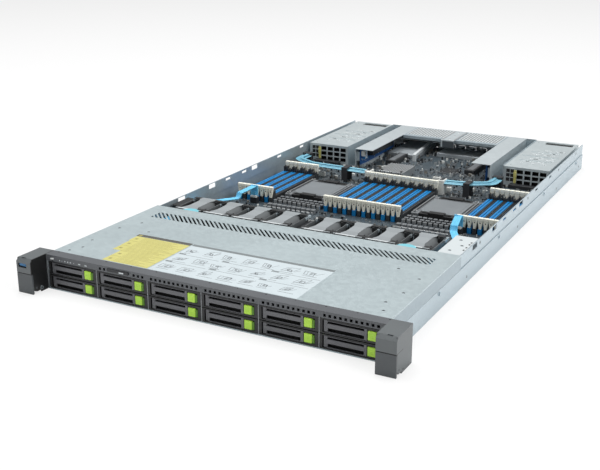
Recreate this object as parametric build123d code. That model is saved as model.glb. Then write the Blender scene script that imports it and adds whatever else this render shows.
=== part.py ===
from build123d import *
import os

os.makedirs("parts", exist_ok=True)

# Overall size. X runs to the right, Y to the rear and Z up. Y is counted from the drive faces
# while the pieces are made, and each file is then moved so that the origin lies under the middle.
BODY_W = 438.0  # chassis between its side faces
BODY_H = 43.5  # one rack unit less its clearance
BODY_D = 870.0  # drive faces to rear panel
EAR_W = 22.3  # each rack ear, outside the chassis
EAR_REACH = 26.0  # ear fronts ahead of the drive faces
EAR_BACK = 15.0  # rear face of the ears and of the front frame
SHEET = 1.2  # steel sheet of tray and cover
THIN = 0.8  # thinner sheet of cage and brackets
SEAT = 0.3  # gap where one loose piece rests beside another
RUN = 0.05  # radial play of a turning pin

HALF_W = BODY_W / 2
EAR_OUT = HALF_W + EAR_W
LID_Z = BODY_H - SHEET  # underside of cover and lid
FLOOR_Z = SHEET  # upper face of the floor

# Tray
JOGGLE_Z = BODY_H - 18.5  # above this the walls step in by one sheet for the covers' flanges
WALL_IN = HALF_W - 2 * SHEET  # inner face of the upper walls
HOOK_Y = (271.0, 351.0, 476.0)  # large lid hook windows in each wall
HOOK_W = 18.0
HOOK_H = 7.0
CATCH_Y = (398.0, 446.0, 560.0, 640.0)  # small lid catch slots
CATCH_W = 14.0
CATCH_H = 3.6
HOOK_Z = BODY_H - 5.5  # middle height of the windows
STUD_R = 2.5  # rail studs riveted into the side faces
STUD_OUT = 1.6
STUD_Z = 20.6
STUD_Y = [BODY_D * share for share in (0.176, 0.437, 0.701, 0.943)]
WINDOWS = 5  # in each power supply bay's wall
WINDOW_PITCH = 36.0
WINDOW_W = 24.0
WINDOW_H = 8.0

# Drive bays
COLUMNS = 6
BAY_PITCH = 2 * WALL_IN / COLUMNS
SIDE_GAP = 0.3  # carrier to partition
CARRIER_W = BAY_PITCH - THIN - 2 * SIDE_GAP
ROW_GAP = 1.0
ROW_PITCH = (BODY_H - 8.7) / 2
CARRIER_H = ROW_PITCH - ROW_GAP
FACE_Y = 0.6  # carrier faces behind the frame's face
FRONT_DEEP = 8.4  # moulded front block of a carrier
DRIVE_SIDE = 0.475  # carrier rail beside the drive
DRIVE_L = 100.2
DRIVE_H = CARRIER_H - 1.6
LATCH_W = 12.0
LATCH_H = CARRIER_H - 6.0
LATCH_X = CARRIER_W - 10.5  # latch centre from the carrier's left edge
LATCH_GAP = 0.35
LATCH_BACK = 2.9  # rear face of the button
LATCH_TRAVEL = 2.0
LEVER_X = 5.6  # pivot from the carrier's left edge
LEVER_L = LATCH_X - LATCH_W / 2 - LEVER_X - 1.1
PIVOT_R = 1.6
PIVOT_Y = 3.4
LIP = 1.3  # floor and roof of the carrier's front block
RECESS_Y = 5.6  # rear face of the lever's recess

# Vents shared by carrier front and lever
VENT_Z = (CARRIER_H / 2 - 4.8, CARRIER_H / 2 + 1.6)
VENT_H = 3.2

# Cage and backplane
RIB_W = 1.8
LINK_T = 5.0  # depth of a drive connector
LINK_W = 42.0
LINK_H = 6.0
PLUG_L = 9.0  # depth of the cable connectors behind the backplane
PLUG_HALF = 7.0
CAGE_PAST = 5.4  # cage behind the drives

# Front frame, its service tag and power button
FRAME_T = 1.6
VENT_HOLES = 11
VENT_PITCH = (CARRIER_W - 4.8) / VENT_HOLES
VENT_W = 3.2
TAG_W = 30.0
TAG_T = 1.6
TAG_Z = BODY_H - 4.3
TAG_GAP = 0.3
TAG_TRAVEL = 36.0
TAG_L = TAG_TRAVEL + 10
BUTTON_X = 10.0 - HALF_W
BUTTON_R = 2.2
BUTTON_TRAVEL = 1.0

# Rack ears and their flaps
EAR_WALL = 1.6
EAR_CHAMFER = 4.0
EAR_DEEP = 16.0
RACK_X = EAR_OUT - 8.75  # rack hole centre
RACK_Z = BODY_H / 2 - 0.15
RACK_R = 3.4
FLAP_TOP = BODY_H - 18.3
FLAP_T = 2.2
FLAP_Y = 7.0 - EAR_REACH  # pivot of the flap
FLAP_Z = 7.0
FLAP_PIN_R = 1.2
HINGE_CLEAR = 4.6
LUG_T = 2.4
USB_W = 12.6
USB_H = 5.2
USB_Z = BODY_H - 11.1

# Cover
COVER_BACK = 225.0
SLOT_PITCH = 6.9
SLOT_W = 2.6
SLOT_TURN = 43.0
SLOT_Y = (COVER_BACK - 47, COVER_BACK - 25)  # the vent band
VENT_HALF = HALF_W - 22  # half its width
TAB_R = 13.0  # half-round lift tabs under the cover's rear edge
TAB_X = (-167.0, 148.0)

# Fans
FAN = BODY_H - 3.5  # frame, square
FAN_GAP = 4.9  # between two frames
FAN_PITCH = FAN + FAN_GAP
FAN_L = 56.0
FAN_Y = COVER_BACK + 10
FANS_A_SIDE = 4
FAN_SIDE = 18.15  # left wall to the first divider
FAN_SPLIT = 16.4  # room for the cable trunk between the groups
FAN_FIRST = (FAN_SIDE - WALL_IN + FAN_PITCH / 2, FAN_SIDE - WALL_IN + 4.5 * FAN_PITCH + FAN_SPLIT)
FLANGE = 4.0
BORE_R = FAN / 2 - 1.1
HUB_R = 9.0
HUB_SIDES = 24
BLADE_TIP = BORE_R - 1.9  # to the middle of a blade's straight tip
ROTOR_L = 20.0
SHAFT_R = 1.5
ROTOR_Y = 4.0  # rotor behind the frame's front face
BLADES = 5
BLADE_T = 1.1
BLADE_L = 19.0
BLADE_PITCH = 38.0
SEAT_L = 8.0  # motor seat behind the rotor
# Flat bracket between the last fan and the right wall
BRACKET_X = WALL_IN - 28.6
BRACKET_BACK = FAN_Y + FAN_L + 7

# Rear
PSU_W = 73.5
PSU_H = BODY_H - 3.9
PSU_L = 202.0
PSU_FRONT = BODY_D - PSU_L
PSU_IN = WALL_IN - PSU_W - 5.7  # inner side face
HANDLE_OUT = 22.0
GRIP_X = 34.5  # handle's left side from the supply's
GRIP_T = 4.0

# Main board
BOARD_Z = 7.0
BOARD_T = 2.0
BOARD_TOP = BOARD_Z + BOARD_T
BOARD_FRONT = FAN_Y + FAN_L + 11
BOARD_STEP = PSU_FRONT - 1  # behind this the board narrows between the power supplies
BOARD_HALF = WALL_IN - 5.6
TAIL_HALF = PSU_IN - 9.4
STANDOFF_R = 3.2
CPU_X = (-97.0, 109.5)
CPU_Y = (BOARD_FRONT + PSU_FRONT) / 2 - 3
CPU_W = 76.0
CPU_L = 92.0
CPU_RIM = 7.0
CPU_H = 9.0  # socket frame above the board
CLIP_W = 30.0
CLIP_L = 9.0
CLIP_H = 2.8  # lever blocks above the frame
MEM_PITCH = 7.6
MEM_X = (47.1 - WALL_IN, 7.0, WALL_IN - 36.1)  # middle of each bank
MEM_COUNT = (8, 16, 8)
MEM_L = 147.0
MEM_Y = (CPU_Y - 72, CPU_Y - 72 + MEM_L)
MEM_W = 6.4
MEM_BODY_H = 9.5
MEM_SLOT = 1.4
MEM_TOP = BOARD_TOP + 25.0
LATCH_T = 5.0  # thickness of a socket's end latch
FRONT_ROOM = MEM_Y[0] - BOARD_FRONT  # board left free before and behind the memory
REAR_ROOM = PSU_FRONT - MEM_Y[1]
COILS = 9
COIL_PITCH = 8.0
COIL_W = 6.4
COIL_H = 6.5
COIL_Y = MEM_Y[0] - 0.24 * FRONT_ROOM
CAP_W = 4.8
CAP_Y = MEM_Y[0] - 0.37 * FRONT_ROOM
SINK_X = (-56.0, -14.0)
SINK_H = 14.0
FINS = 7
CHIP = 30.0
CHIP_X = 20.0
SIDE_PLUG_X = 62.0
SIDE_PLUG_W = 18.0
SIDE_PLUG_L = 60.0
EDGE_PLUG_X = (-205.0, -75.0, 75.0, 175.0)
EDGE_PLUG_W = 26.0

# Risers, rear strip and openings
RISER_X = (TAIL_HALF - 41, TAIL_HALF - 9)
RISER_FRONT = PSU_FRONT - 10
CARD_T = 1.6
CARD_OFF = 6.4  # card inside the bracket's upright sheet
CARD_L = 146.0
SLOT_L = 89.0
SLOT_DEEP = 11.0
SLOT_BACK = 26.0  # slot's front end behind the card's
POST_Z = (20.0, 36.0)  # post between the card and the shelf's wall
SLOT_Z = 26.0
SLOT_H = 7.5
STRIP_FRONT = BODY_D - 75
STRIP_HOLES = 14
HOLD_HALF = 12.0  # half the width of the hold-down bracket
CARD_X = RISER_X[0] - 19  # middle of a low card's bracket opening
CARD_HALF = 39.5  # half its width
CARD_Z = (20.6, BODY_H - 3.5)
OCP_X = (-118.0, -42.0)
PORT_W = 14.0
PORT_H = 12.2
PORT_Z = 4.6
PORT_L = 22.0
PORT_WALL = 1.2
PORT_X = (-26.0, -6.0, 14.0, 34.0)  # left edges of the port openings
EDGE_L = 9.0  # board edge of a power supply that enters its connector
EDGE_T = 1.6
EDGE_Z = BOARD_TOP + 2.0
LINK_SIDE = 13.0  # connector inside the supply's side faces

# Inner cables
CABLE_W = 8.0
CABLE_T = 2.0
CABLE_Z = 24.0
CABLE_BEND = 0.2 * FRONT_ROOM
CABLE_X = (9.1 - WALL_IN, WALL_IN - 33.6)
PLUG_X = (-166.0, 156.5)
PLUG_Y = MEM_Y[0] - 14
BAND_W = 12.0
BAND_LEAN = 36.0  # from a band's ends to its turns
BAND_Z = 29.0
BAND_Y = MEM_Y[1] + 17
BAND_RUN = REAR_ROOM - 59  # depth that the rear bands take
BAND_BEND = 0.38 * BAND_RUN
BAND_ENDS = ((-60.0, -196.0), (74.0, 140.0))  # inner and outer end of each
TRUNK_X = FAN_FIRST[1] - FAN_PITCH / 2 - FAN_SPLIT / 2
TRUNK_D = 10.0

Y_MID = (BODY_D + HANDLE_OUT - EAR_REACH) / 2  # origin's place along the depth


def block(x0, x1, y0, y1, z0, z1):
    """A box from its two opposite corners."""
    return Pos((x0 + x1) / 2, (y0 + y1) / 2, (z0 + z1) / 2) * Box(x1 - x0, y1 - y0, z1 - z0)


def prism_x(points, x0, x1):
    """An outline in Y and Z, drawn out from x0 to x1."""
    face = Plane.YZ.offset(x0) * make_face(Polyline(*points, close=True))
    return extrude(face, x1 - x0)


def rod_x(x0, x1, y, z, r):
    return Pos((x0 + x1) / 2, y, z) * Rot(0, 90, 0) * Cylinder(r, x1 - x0)


def rod_y(x, y0, y1, z, r):
    return Pos(x, (y0 + y1) / 2, z) * Rot(90, 0, 0) * Cylinder(r, y1 - y0)


def rod_z(x, y, z0, z1, r):
    return Pos(x, y, (z0 + z1) / 2) * Cylinder(r, z1 - z0)


def prism_y(points, y0, y1):
    """An outline in X and Z, drawn out from y0 to y1."""
    face = Plane.XZ.offset(-y0) * make_face(Polyline(*points, close=True))
    return extrude(face, y0 - y1)


def mirrored(shape):
    return mirror(shape, about=Plane.YZ)


def save(name, *solids):
    """Write one named piece, or a group of like pieces, at its place in the part's frame."""
    moved = [Pos(0, -Y_MID, 0) * solid for solid in solids]
    export_step(moved[0] if len(moved) == 1 else Compound(children=moved), f"parts/{name}.step")


# Bay places: column 0 is at the left, row 0 at the bottom.
BAYS = [(column, row) for row in (0, 1) for column in range(COLUMNS)]


def bay_left(column):
    return (column - COLUMNS / 2) * BAY_PITCH + THIN / 2 + SIDE_GAP


def bay_floor(row):
    return FLOOR_Z + SEAT + row * ROW_PITCH


CAGE_TOP = bay_floor(1) + CARRIER_H + SEAT  # underside of the cage's roof
CAGE_BACK = FRONT_DEEP + DRIVE_L + CAGE_PAST
FRAME_LOW = CAGE_TOP + 0.4  # lower edge of the front frame
BACKPLANE_Y = CAGE_BACK + 0.4


def chassis_tray():
    tray = block(-HALF_W, HALF_W, 0, BODY_D, 0, SHEET)
    step = SHEET
    wall = block(HALF_W - SHEET, HALF_W, 0, BODY_D, 0, JOGGLE_Z)
    wall += block(WALL_IN, HALF_W, 0, BODY_D, JOGGLE_Z - step, JOGGLE_Z)
    wall += block(WALL_IN, HALF_W - SHEET, 0, BODY_D, JOGGLE_Z - step, LID_Z)
    wall -= block(WALL_IN - 1, HALF_W + 1, -1, EAR_BACK, FRAME_LOW, BODY_H)
    for y in HOOK_Y:
        wall -= block(WALL_IN - 1, HALF_W, y, y + HOOK_W, HOOK_Z - HOOK_H / 2, HOOK_Z + HOOK_H / 2)
    for y in CATCH_Y:
        wall -= block(WALL_IN - 1, HALF_W, y, y + CATCH_W, HOOK_Z - CATCH_H / 2, HOOK_Z + CATCH_H / 2)
    tray += wall + mirrored(wall)
    bay_wall = block(PSU_IN - SEAT - THIN, PSU_IN - SEAT, BOARD_STEP + SEAT, BODY_D, 0, LID_Z)
    window_z = (LID_Z - WINDOW_H) / 2 + BOARD_TOP
    for index in range(WINDOWS):
        y = PSU_FRONT + WINDOW_W + index * WINDOW_PITCH
        bay_wall -= block(PSU_IN - 3, PSU_IN, y, y + WINDOW_W, window_z, window_z + WINDOW_H)
    tray += bay_wall + mirrored(bay_wall)
    for y in STUD_Y:
        stud = rod_x(HALF_W - SHEET / 2, HALF_W + STUD_OUT, y, STUD_Z, STUD_R)
        tray += stud + mirrored(stud)
    return tray


def rear_strip():
    """Perforated strip along the rear edge, with its folded front lip."""
    half = RISER_X[0] - SEAT
    strip = block(-half, half, STRIP_FRONT, BODY_D - SHEET, LID_Z - THIN, LID_Z)
    strip += block(-half, half, STRIP_FRONT, STRIP_FRONT + THIN, LID_Z - 5, LID_Z)
    margin = 6.0
    pitch = 2 * (RISER_X[0] - margin) / STRIP_HOLES
    for index in range(STRIP_HOLES):
        x = margin - RISER_X[0] + pitch * (index + 0.5)
        for row in range(3):
            y = STRIP_FRONT + 3 * margin + row * 16
            strip -= block(x - pitch * 0.3, x + pitch * 0.3, y, y + 9, LID_Z - 2, LID_Z + 1)
    return strip


def rear_frame():
    """Rails and posts of the rear wall, around the card, network and port openings."""
    half = PSU_IN - SEAT
    y0 = BODY_D - SHEET
    levels = (FLOOR_Z, PORT_Z, PORT_Z + PORT_H, CARD_Z[0], CARD_Z[1], LID_Z)
    bars = [block(-half, half, y0, BODY_D, levels[place], levels[place + 1]) for place in (0, 2, 4)]
    ports = [(x, x + PORT_W) for x in PORT_X] + [OCP_X]
    cards = [(x - CARD_HALF, x + CARD_HALF) for x in (-CARD_X, CARD_X)]
    for low, high, holes in ((levels[1], levels[2], ports), (levels[3], levels[4], cards)):
        start = -half
        for left, right in sorted(holes) + [(half, half)]:
            bars.append(block(start, left, y0, BODY_D, low, high))
            start = right
    return bars


def front_cover():
    cover = block(-HALF_W, HALF_W, EAR_BACK, COVER_BACK, LID_Z, BODY_H)
    flange = block(HALF_W - SHEET, HALF_W, EAR_BACK + SEAT, COVER_BACK, JOGGLE_Z + SEAT, LID_Z)
    cover += flange + mirrored(flange)
    field = block(-VENT_HALF, VENT_HALF, SLOT_Y[0], SLOT_Y[1], LID_Z - 1, BODY_H + 1)
    middle = (SLOT_Y[0] + SLOT_Y[1]) / 2
    count = int(2 * VENT_HALF / SLOT_PITCH) + 3
    long = (SLOT_Y[1] - SLOT_Y[0]) * 1.6
    slots = []
    for index in range(count):
        x = (index - (count - 1) / 2) * SLOT_PITCH
        slots.append(Pos(x, middle, LID_Z) * Rot(0, 0, SLOT_TURN) * Box(SLOT_W, long, 4))
    slots = [piece & field for piece in slots]
    cover -= [piece for piece in slots if piece and piece.volume > 1]
    tabs = []
    for x in TAB_X:
        tab = Pos(x, COVER_BACK, LID_Z - THIN / 2) * Cylinder(TAB_R, THIN)
        tabs.append(tab & block(x - TAB_R, x + TAB_R, COVER_BACK - 4, COVER_BACK + 20, 0, BODY_H))
    return [cover] + tabs


def tag_x():
    return bay_left(1) + 31.7


def front_frame():
    """Grey strip over the drive bays, with its vent holes and its two panels of controls."""
    low = FRAME_LOW
    frame = block(-HALF_W, HALF_W, 0, FRAME_T, low, BODY_H)
    frame += block(-HALF_W, HALF_W, 0, EAR_BACK, LID_Z, BODY_H)
    hole_z = (low + LID_Z) / 2
    for column in range(1, COLUMNS):
        start = bay_left(column) + 4
        for index in range(VENT_HOLES):
            x = start + index * VENT_PITCH
            if column == 1 and 1 < index < VENT_HOLES - 3:
                continue
            frame -= block(x, x + VENT_W, -1, FRAME_T + 1, hole_z - VENT_W / 2, hole_z + VENT_W / 2)
    tag_hole = TAG_GAP + TAG_W / 2
    tag_x0 = tag_x() - tag_hole
    tag_x1 = tag_x() + tag_hole
    frame -= block(tag_x0, tag_x1, -1, FRAME_T + 1, TAG_Z - TAG_GAP, TAG_Z + TAG_T + TAG_GAP)
    frame -= rod_y(BUTTON_X, -1, FRAME_T + 1, hole_z, BUTTON_R + SEAT)
    shelf = block(tag_x0 - 2, tag_x1 + 2, FRAME_T, EAR_BACK, TAG_Z - TAG_GAP - THIN, TAG_Z - TAG_GAP)
    board = block(BUTTON_X - 4, bay_left(1) - 3, FRAME_T + 4, FRAME_T + 5.6, low, LID_Z)
    return [frame, shelf, board]


def service_tag():
    x0 = tag_x() - TAG_W / 2
    x1 = x0 + TAG_W
    tag = block(x0, x1, -1.0, TAG_L, TAG_Z, TAG_Z + TAG_T)
    tag += block(x0, x1, -1.6, -0.2, TAG_Z - 0.8, TAG_Z + TAG_T + 0.6)
    return tag


def power_button():
    z = (FRAME_LOW + LID_Z) / 2
    return rod_y(BUTTON_X, -BUTTON_TRAVEL - 0.2, FRAME_T + 1.2, z, BUTTON_R)


def rack_ear():
    """Right ear: a hollow moulding open at the bottom, with the rack flange at its back."""
    outer = EAR_OUT
    front = -EAR_REACH
    wall_front = front + FLAP_T + 0.2
    bottom = FLAP_Z - HINGE_CLEAR
    turn_y = FLAP_Y
    side = [
        (wall_front, FLAP_TOP + 0.4),
        (wall_front, FLAP_Z),
        (turn_y - HINGE_CLEAR * 0.72, FLAP_Z - HINGE_CLEAR * 0.72),
        (turn_y, bottom),
        (turn_y + 7.4, bottom),
        (turn_y + 7.4, 0),
        (EAR_BACK, 0),
        (EAR_BACK, BODY_H),
        (wall_front, BODY_H),
    ]
    inner_wall = prism_x(side, HALF_W, HALF_W + EAR_WALL)
    outer_wall = prism_x(side, outer - EAR_WALL, outer)
    ear = inner_wall + outer_wall
    ear += block(HALF_W, outer, EAR_BACK - 2.0, EAR_BACK, 0, BODY_H)
    hood = [
        (front, FLAP_TOP + 0.4),
        (front, BODY_H - EAR_CHAMFER),
        (front + EAR_CHAMFER, BODY_H),
        (EAR_BACK, BODY_H),
        (EAR_BACK, BODY_H - 1.6),
        (front + EAR_DEEP, BODY_H - 1.6),
        (front + EAR_DEEP, FLAP_TOP + 0.4),
    ]
    ear += prism_x(hood, HALF_W, outer)
    ear -= block(RACK_X - 3, RACK_X + 3, front + 3.4, front + 5.2, BODY_H - 1.2, BODY_H + 1)
    ear -= rod_y(RACK_X, EAR_BACK - 4, EAR_BACK + 1, RACK_Z, RACK_R)
    for x in (HALF_W, outer - EAR_WALL):
        ear -= rod_x(x - 1, x + EAR_WALL + 1, FLAP_Y, FLAP_Z, FLAP_PIN_R + RUN)
    return ear


def left_ear():
    ear = mirrored(rack_ear())
    x = -RACK_X
    front = -EAR_REACH
    ear -= block(x - USB_W / 2, x + USB_W / 2, front - 1, front + 13, USB_Z, USB_Z + USB_H)
    half = USB_W / 2 - 1.2
    tongue = block(x - half, x + half, front + 1.4, front + 13, USB_Z + 2.9, USB_Z + 4.5)
    return [ear, tongue]


def ear_flap():
    """Right flap: a front plate that hinges down at its foot and gives access to the rack screw."""
    outer = EAR_OUT
    front = -EAR_REACH
    flap = block(HALF_W, outer, front, front + FLAP_T, 0.5, FLAP_TOP)
    lug_in = HALF_W + EAR_WALL + SEAT
    lug_out = outer - EAR_WALL - SEAT
    lug = [
        (front + FLAP_T, FLAP_Z + 9),
        (front + FLAP_T, FLAP_Z - 3.0),
        (FLAP_Y, FLAP_Z - 3.0),
        (FLAP_Y + 2.6, FLAP_Z),
        (FLAP_Y + 1.0, FLAP_Z + 2.6),
    ]
    flap += prism_x(lug, lug_in, lug_in + LUG_T)
    flap += prism_x(lug, lug_out - LUG_T, lug_out)
    flap += rod_x(HALF_W + 0.2, lug_in + 0.1, FLAP_Y, FLAP_Z, FLAP_PIN_R)
    flap += rod_x(lug_out - 0.1, outer - 0.2, FLAP_Y, FLAP_Z, FLAP_PIN_R)
    return flap


def drive_cage():
    """Partitions and roof of the drive bays, one folded sheet part."""
    cage = block(-WALL_IN + SEAT, WALL_IN - SEAT, EAR_BACK + 1, CAGE_BACK, CAGE_TOP, CAGE_TOP + THIN)
    rib_z = bay_floor(1) - SEAT - THIN / 2
    for column in range(1, COLUMNS):
        x = (column - COLUMNS / 2) * BAY_PITCH
        cage += block(x - THIN / 2, x + THIN / 2, 0.6, CAGE_BACK, FLOOR_Z, CAGE_TOP)
        rib = THIN / 2 + RIB_W
        cage += block(x - rib, x + rib, FRONT_DEEP + 1.2, CAGE_BACK - 12, rib_z, rib_z + THIN / 2)
    end = COLUMNS / 2 * BAY_PITCH - RIB_W
    rail = block(end, HALF_W - SHEET, FRONT_DEEP + 1.2, CAGE_BACK - 12, rib_z, rib_z + THIN / 2)
    return [cage, rail, mirrored(rail)]


def drive_backplane():
    """Upright circuit board behind the drives, with one connector for each."""
    front = BACKPLANE_Y
    board = block(-WALL_IN + 1.5, WALL_IN - 1.5, front, front + BOARD_T, FLOOR_Z, CAGE_TOP + 4)
    for column in range(COLUMNS):
        x = bay_left(column)
        vent_x = x + CARRIER_W - 20.8
        board -= block(vent_x, vent_x + 14, front - 1, front + BOARD_T + 1, 8, CAGE_TOP - 6)
    links = []
    for column, row in BAYS:
        x = bay_left(column) + 4
        z = bay_floor(row) + 4
        links.append(block(x, x + LINK_W, front - LINK_T, front, z, z + LINK_H))
    for x in (CABLE_X[0], TRUNK_X, CABLE_X[1]):
        back = front + BOARD_T
        links.append(block(x - PLUG_HALF, x + PLUG_HALF, back, back + PLUG_L, CABLE_Z - 5, CABLE_Z + 5))
    return [board] + links


def carrier(column, row):
    """Drive carrier: moulded vented front, two thin side rails, and the drive between them."""
    x = bay_left(column)
    z = bay_floor(row)
    top = z + CARRIER_H
    front = block(x, x + CARRIER_W, FACE_Y, FRONT_DEEP, z, top)
    recess = RECESS_Y
    pocket = LATCH_BACK + LATCH_TRAVEL + 0.7
    front -= block(x + LEVER_X - 2.4, x + LEVER_X + LEVER_L + 0.4, 0, recess, z + LIP, top - LIP)
    for slot_z in VENT_Z:
        slot_x = x + LEVER_X + 5
        front -= block(slot_x, slot_x + LEVER_L - 10.6, 0, FRONT_DEEP + 1, z + slot_z, z + slot_z + VENT_H)
    pocket_x = LATCH_W / 2 + LATCH_GAP
    pocket_z = (CARRIER_H - LATCH_H) / 2 - LATCH_GAP
    front -= block(x + LATCH_X - pocket_x, x + LATCH_X + pocket_x, 0, pocket, z + pocket_z, top - pocket_z)
    front -= rod_z(x + LEVER_X, PIVOT_Y, z + 0.4, top - 0.4, PIVOT_R + RUN)
    end = FRONT_DEEP + DRIVE_L
    for x0 in (x, x + CARRIER_W - DRIVE_SIDE):
        front += block(x0, x0 + DRIVE_SIDE, FRONT_DEEP - 1, end - 6, z + 2, top - 3.4)
    x1 = x + CARRIER_W - DRIVE_SIDE
    drive = block(x + DRIVE_SIDE, x1, FRONT_DEEP, end, z + 0.8, z + 0.8 + DRIVE_H)
    drive -= block(x + 3, x + 5 + LINK_W, end - LINK_T - 1, end + 1, z + 3, z + LINK_H + 5)
    return [front, drive]


def lever(column, row):
    """Release lever: a bowed, slotted bar on an upright pivot at the carrier's left end."""
    x = bay_left(column) + LEVER_X
    z = bay_floor(row)
    z0 = z + LIP + SEAT
    z1 = z + CARRIER_H - LIP - SEAT
    back = PIVOT_Y + 0.4
    plan = [
        (x, back),
        (x, 1.9),
        (x + 3.0, 0.9),
        (x + 11.0, -0.9),
        (x + LEVER_L - 10.6, -0.9),
        (x + LEVER_L - 3.4, 0.6),
        (x + LEVER_L, 0.6),
        (x + LEVER_L, back - 0.6),
        (x + LEVER_L - 6.0, back),
    ]
    bar = extrude(Plane.XY.offset(z0) * make_face(Polyline(*plan, close=True)), z1 - z0)
    for slot_z in VENT_Z:
        bar -= block(x + 6.0, x + LEVER_L - 7.1, -2, back + 1, z + slot_z, z + slot_z + VENT_H)
    bar += rod_z(x, PIVOT_Y, z + 0.6, z + CARRIER_H - 0.6, PIVOT_R)
    return bar


def latch(column, row):
    """Green release button with its ribbed thumb face."""
    x = bay_left(column) + LATCH_X
    z = bay_floor(row) + CARRIER_H / 2
    side = [
        (LATCH_BACK, z - LATCH_H / 2),
        (0.4, z - LATCH_H / 2),
        (-0.8, z - LATCH_H / 2 + 2.4),
        (-0.8, z + LATCH_H / 2 - 2.4),
        (0.4, z + LATCH_H / 2),
        (LATCH_BACK, z + LATCH_H / 2),
    ]
    return prism_x(side, x - LATCH_W / 2, x + LATCH_W / 2)


def fan_x(index):
    return FAN_FIRST[index // FANS_A_SIDE] + (index % FANS_A_SIDE) * FAN_PITCH


FAN_Z = FLOOR_Z + SEAT + FAN / 2


def fan_housing(index):
    """Square-flanged fan frame with an eight-sided duct, a motor seat and its struts."""
    x = fan_x(index)
    half = FAN / 2
    flat = half * 0.42
    low = FAN_Z - half
    high = FAN_Z + half
    ring = [
        (x - half, FAN_Z - flat),
        (x - flat, low),
        (x + flat, low),
        (x + half, FAN_Z - flat),
        (x + half, FAN_Z + flat),
        (x + flat, high),
        (x - flat, high),
        (x - half, FAN_Z + flat),
    ]
    body = prism_y(ring, FAN_Y, FAN_Y + FAN_L)
    for y in (FAN_Y, FAN_Y + FAN_L - FLANGE):
        body += block(x - half, x + half, y, y + FLANGE, low, high)
    body -= rod_y(x, FAN_Y - 1, FAN_Y + FAN_L + 1, FAN_Z, BORE_R)
    seat_y = FAN_Y + ROTOR_Y + ROTOR_L + 0.5
    reach = BORE_R + 0.3
    body += rod_y(x, seat_y, seat_y + SEAT_L, FAN_Z, HUB_R)
    body += block(x - reach, x + reach, seat_y + 2, seat_y + SEAT_L, FAN_Z - 1, FAN_Z + 1)
    body += block(x - 1, x + 1, seat_y + 2, seat_y + SEAT_L, FAN_Z - reach, FAN_Z + reach)
    body += block(x - 1.2, x + 1.2, FAN_Y, FAN_Y + 1.6, FAN_Z - reach, FAN_Z + reach)
    body -= rod_y(x, seat_y - 1, seat_y + SEAT_L - 1, FAN_Z, SHAFT_R + RUN)
    return body


def fan_rotor(index):
    """Hub with pitched blades and the shaft that turns in the motor seat."""
    x = fan_x(index)
    y = FAN_Y + ROTOR_Y
    rotor = Pos(x, y + ROTOR_L / 2, FAN_Z) * Rot(90, 0, 0) * extrude(
        RegularPolygon(HUB_R, HUB_SIDES), ROTOR_L / 2, both=True)
    root = HUB_R - 0.8
    tilt = Rot(0, 0, BLADE_PITCH)
    blade = Pos(0, 0, (root + BLADE_TIP) / 2) * tilt * Box(BLADE_T, BLADE_L, BLADE_TIP - root)
    for turn in range(BLADES):
        rotor += Pos(x, y + ROTOR_L / 2, FAN_Z) * Rot(0, turn * 360 / BLADES, 0) * blade
    rotor += rod_y(x, y + ROTOR_L - 1, y + ROTOR_L + 6, FAN_Z, SHAFT_R)
    return rotor


def fan_dividers():
    """Upright sheets of the fan tray between the fans, and the flat bracket at the right wall."""
    sheets = []
    for first in FAN_FIRST:
        for place in range(FANS_A_SIDE + 1):
            x = first + (place - 0.5) * FAN_PITCH
            sheets.append(block(x - THIN / 2, x + THIN / 2, FAN_Y - 7, FAN_Y + FAN_L, FLOOR_Z, LID_Z - 3))
    x0 = BRACKET_X
    bracket = block(x0, WALL_IN - SEAT, COVER_BACK + SEAT, BRACKET_BACK, LID_Z - THIN, LID_Z)
    bracket += block(x0, x0 + THIN, COVER_BACK + SEAT, BRACKET_BACK, FLOOR_Z, LID_Z)
    return sheets + [bracket]


def memory_bank():
    sockets = []
    for middle, count in zip(MEM_X, MEM_COUNT):
        for index in range(count):
            x = middle + (index - (count - 1) / 2) * MEM_PITCH
            top = BOARD_TOP + MEM_BODY_H
            body = block(x - MEM_W / 2, x + MEM_W / 2, MEM_Y[0], MEM_Y[1], BOARD_TOP, top)
            body -= block(x - MEM_SLOT / 2, x + MEM_SLOT / 2, MEM_Y[0] - 1, MEM_Y[1] + 1, top - 5, top + 1)
            sockets.append(body)
            for y in (MEM_Y[0] - LATCH_T, MEM_Y[1]):
                sockets.append(memory_latch(x, y))
    return sockets


def memory_latch(x, y):
    """End latch of a memory socket: a wedge that widens to its thumb pad."""
    pad = MEM_PITCH / 2 - 0.15
    shape = [
        (x - 1.8, BOARD_TOP),
        (x + 1.8, BOARD_TOP),
        (x + pad, MEM_TOP - 4.5),
        (x + pad, MEM_TOP),
        (x - pad, MEM_TOP),
        (x - pad, MEM_TOP - 4.5),
    ]
    return prism_y(shape, y, y + LATCH_T)


def standoff(x, y):
    face = Pos(x, y, FLOOR_Z) * RegularPolygon(STANDOFF_R, 6)
    return extrude(face, BOARD_Z - FLOOR_Z)


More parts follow.
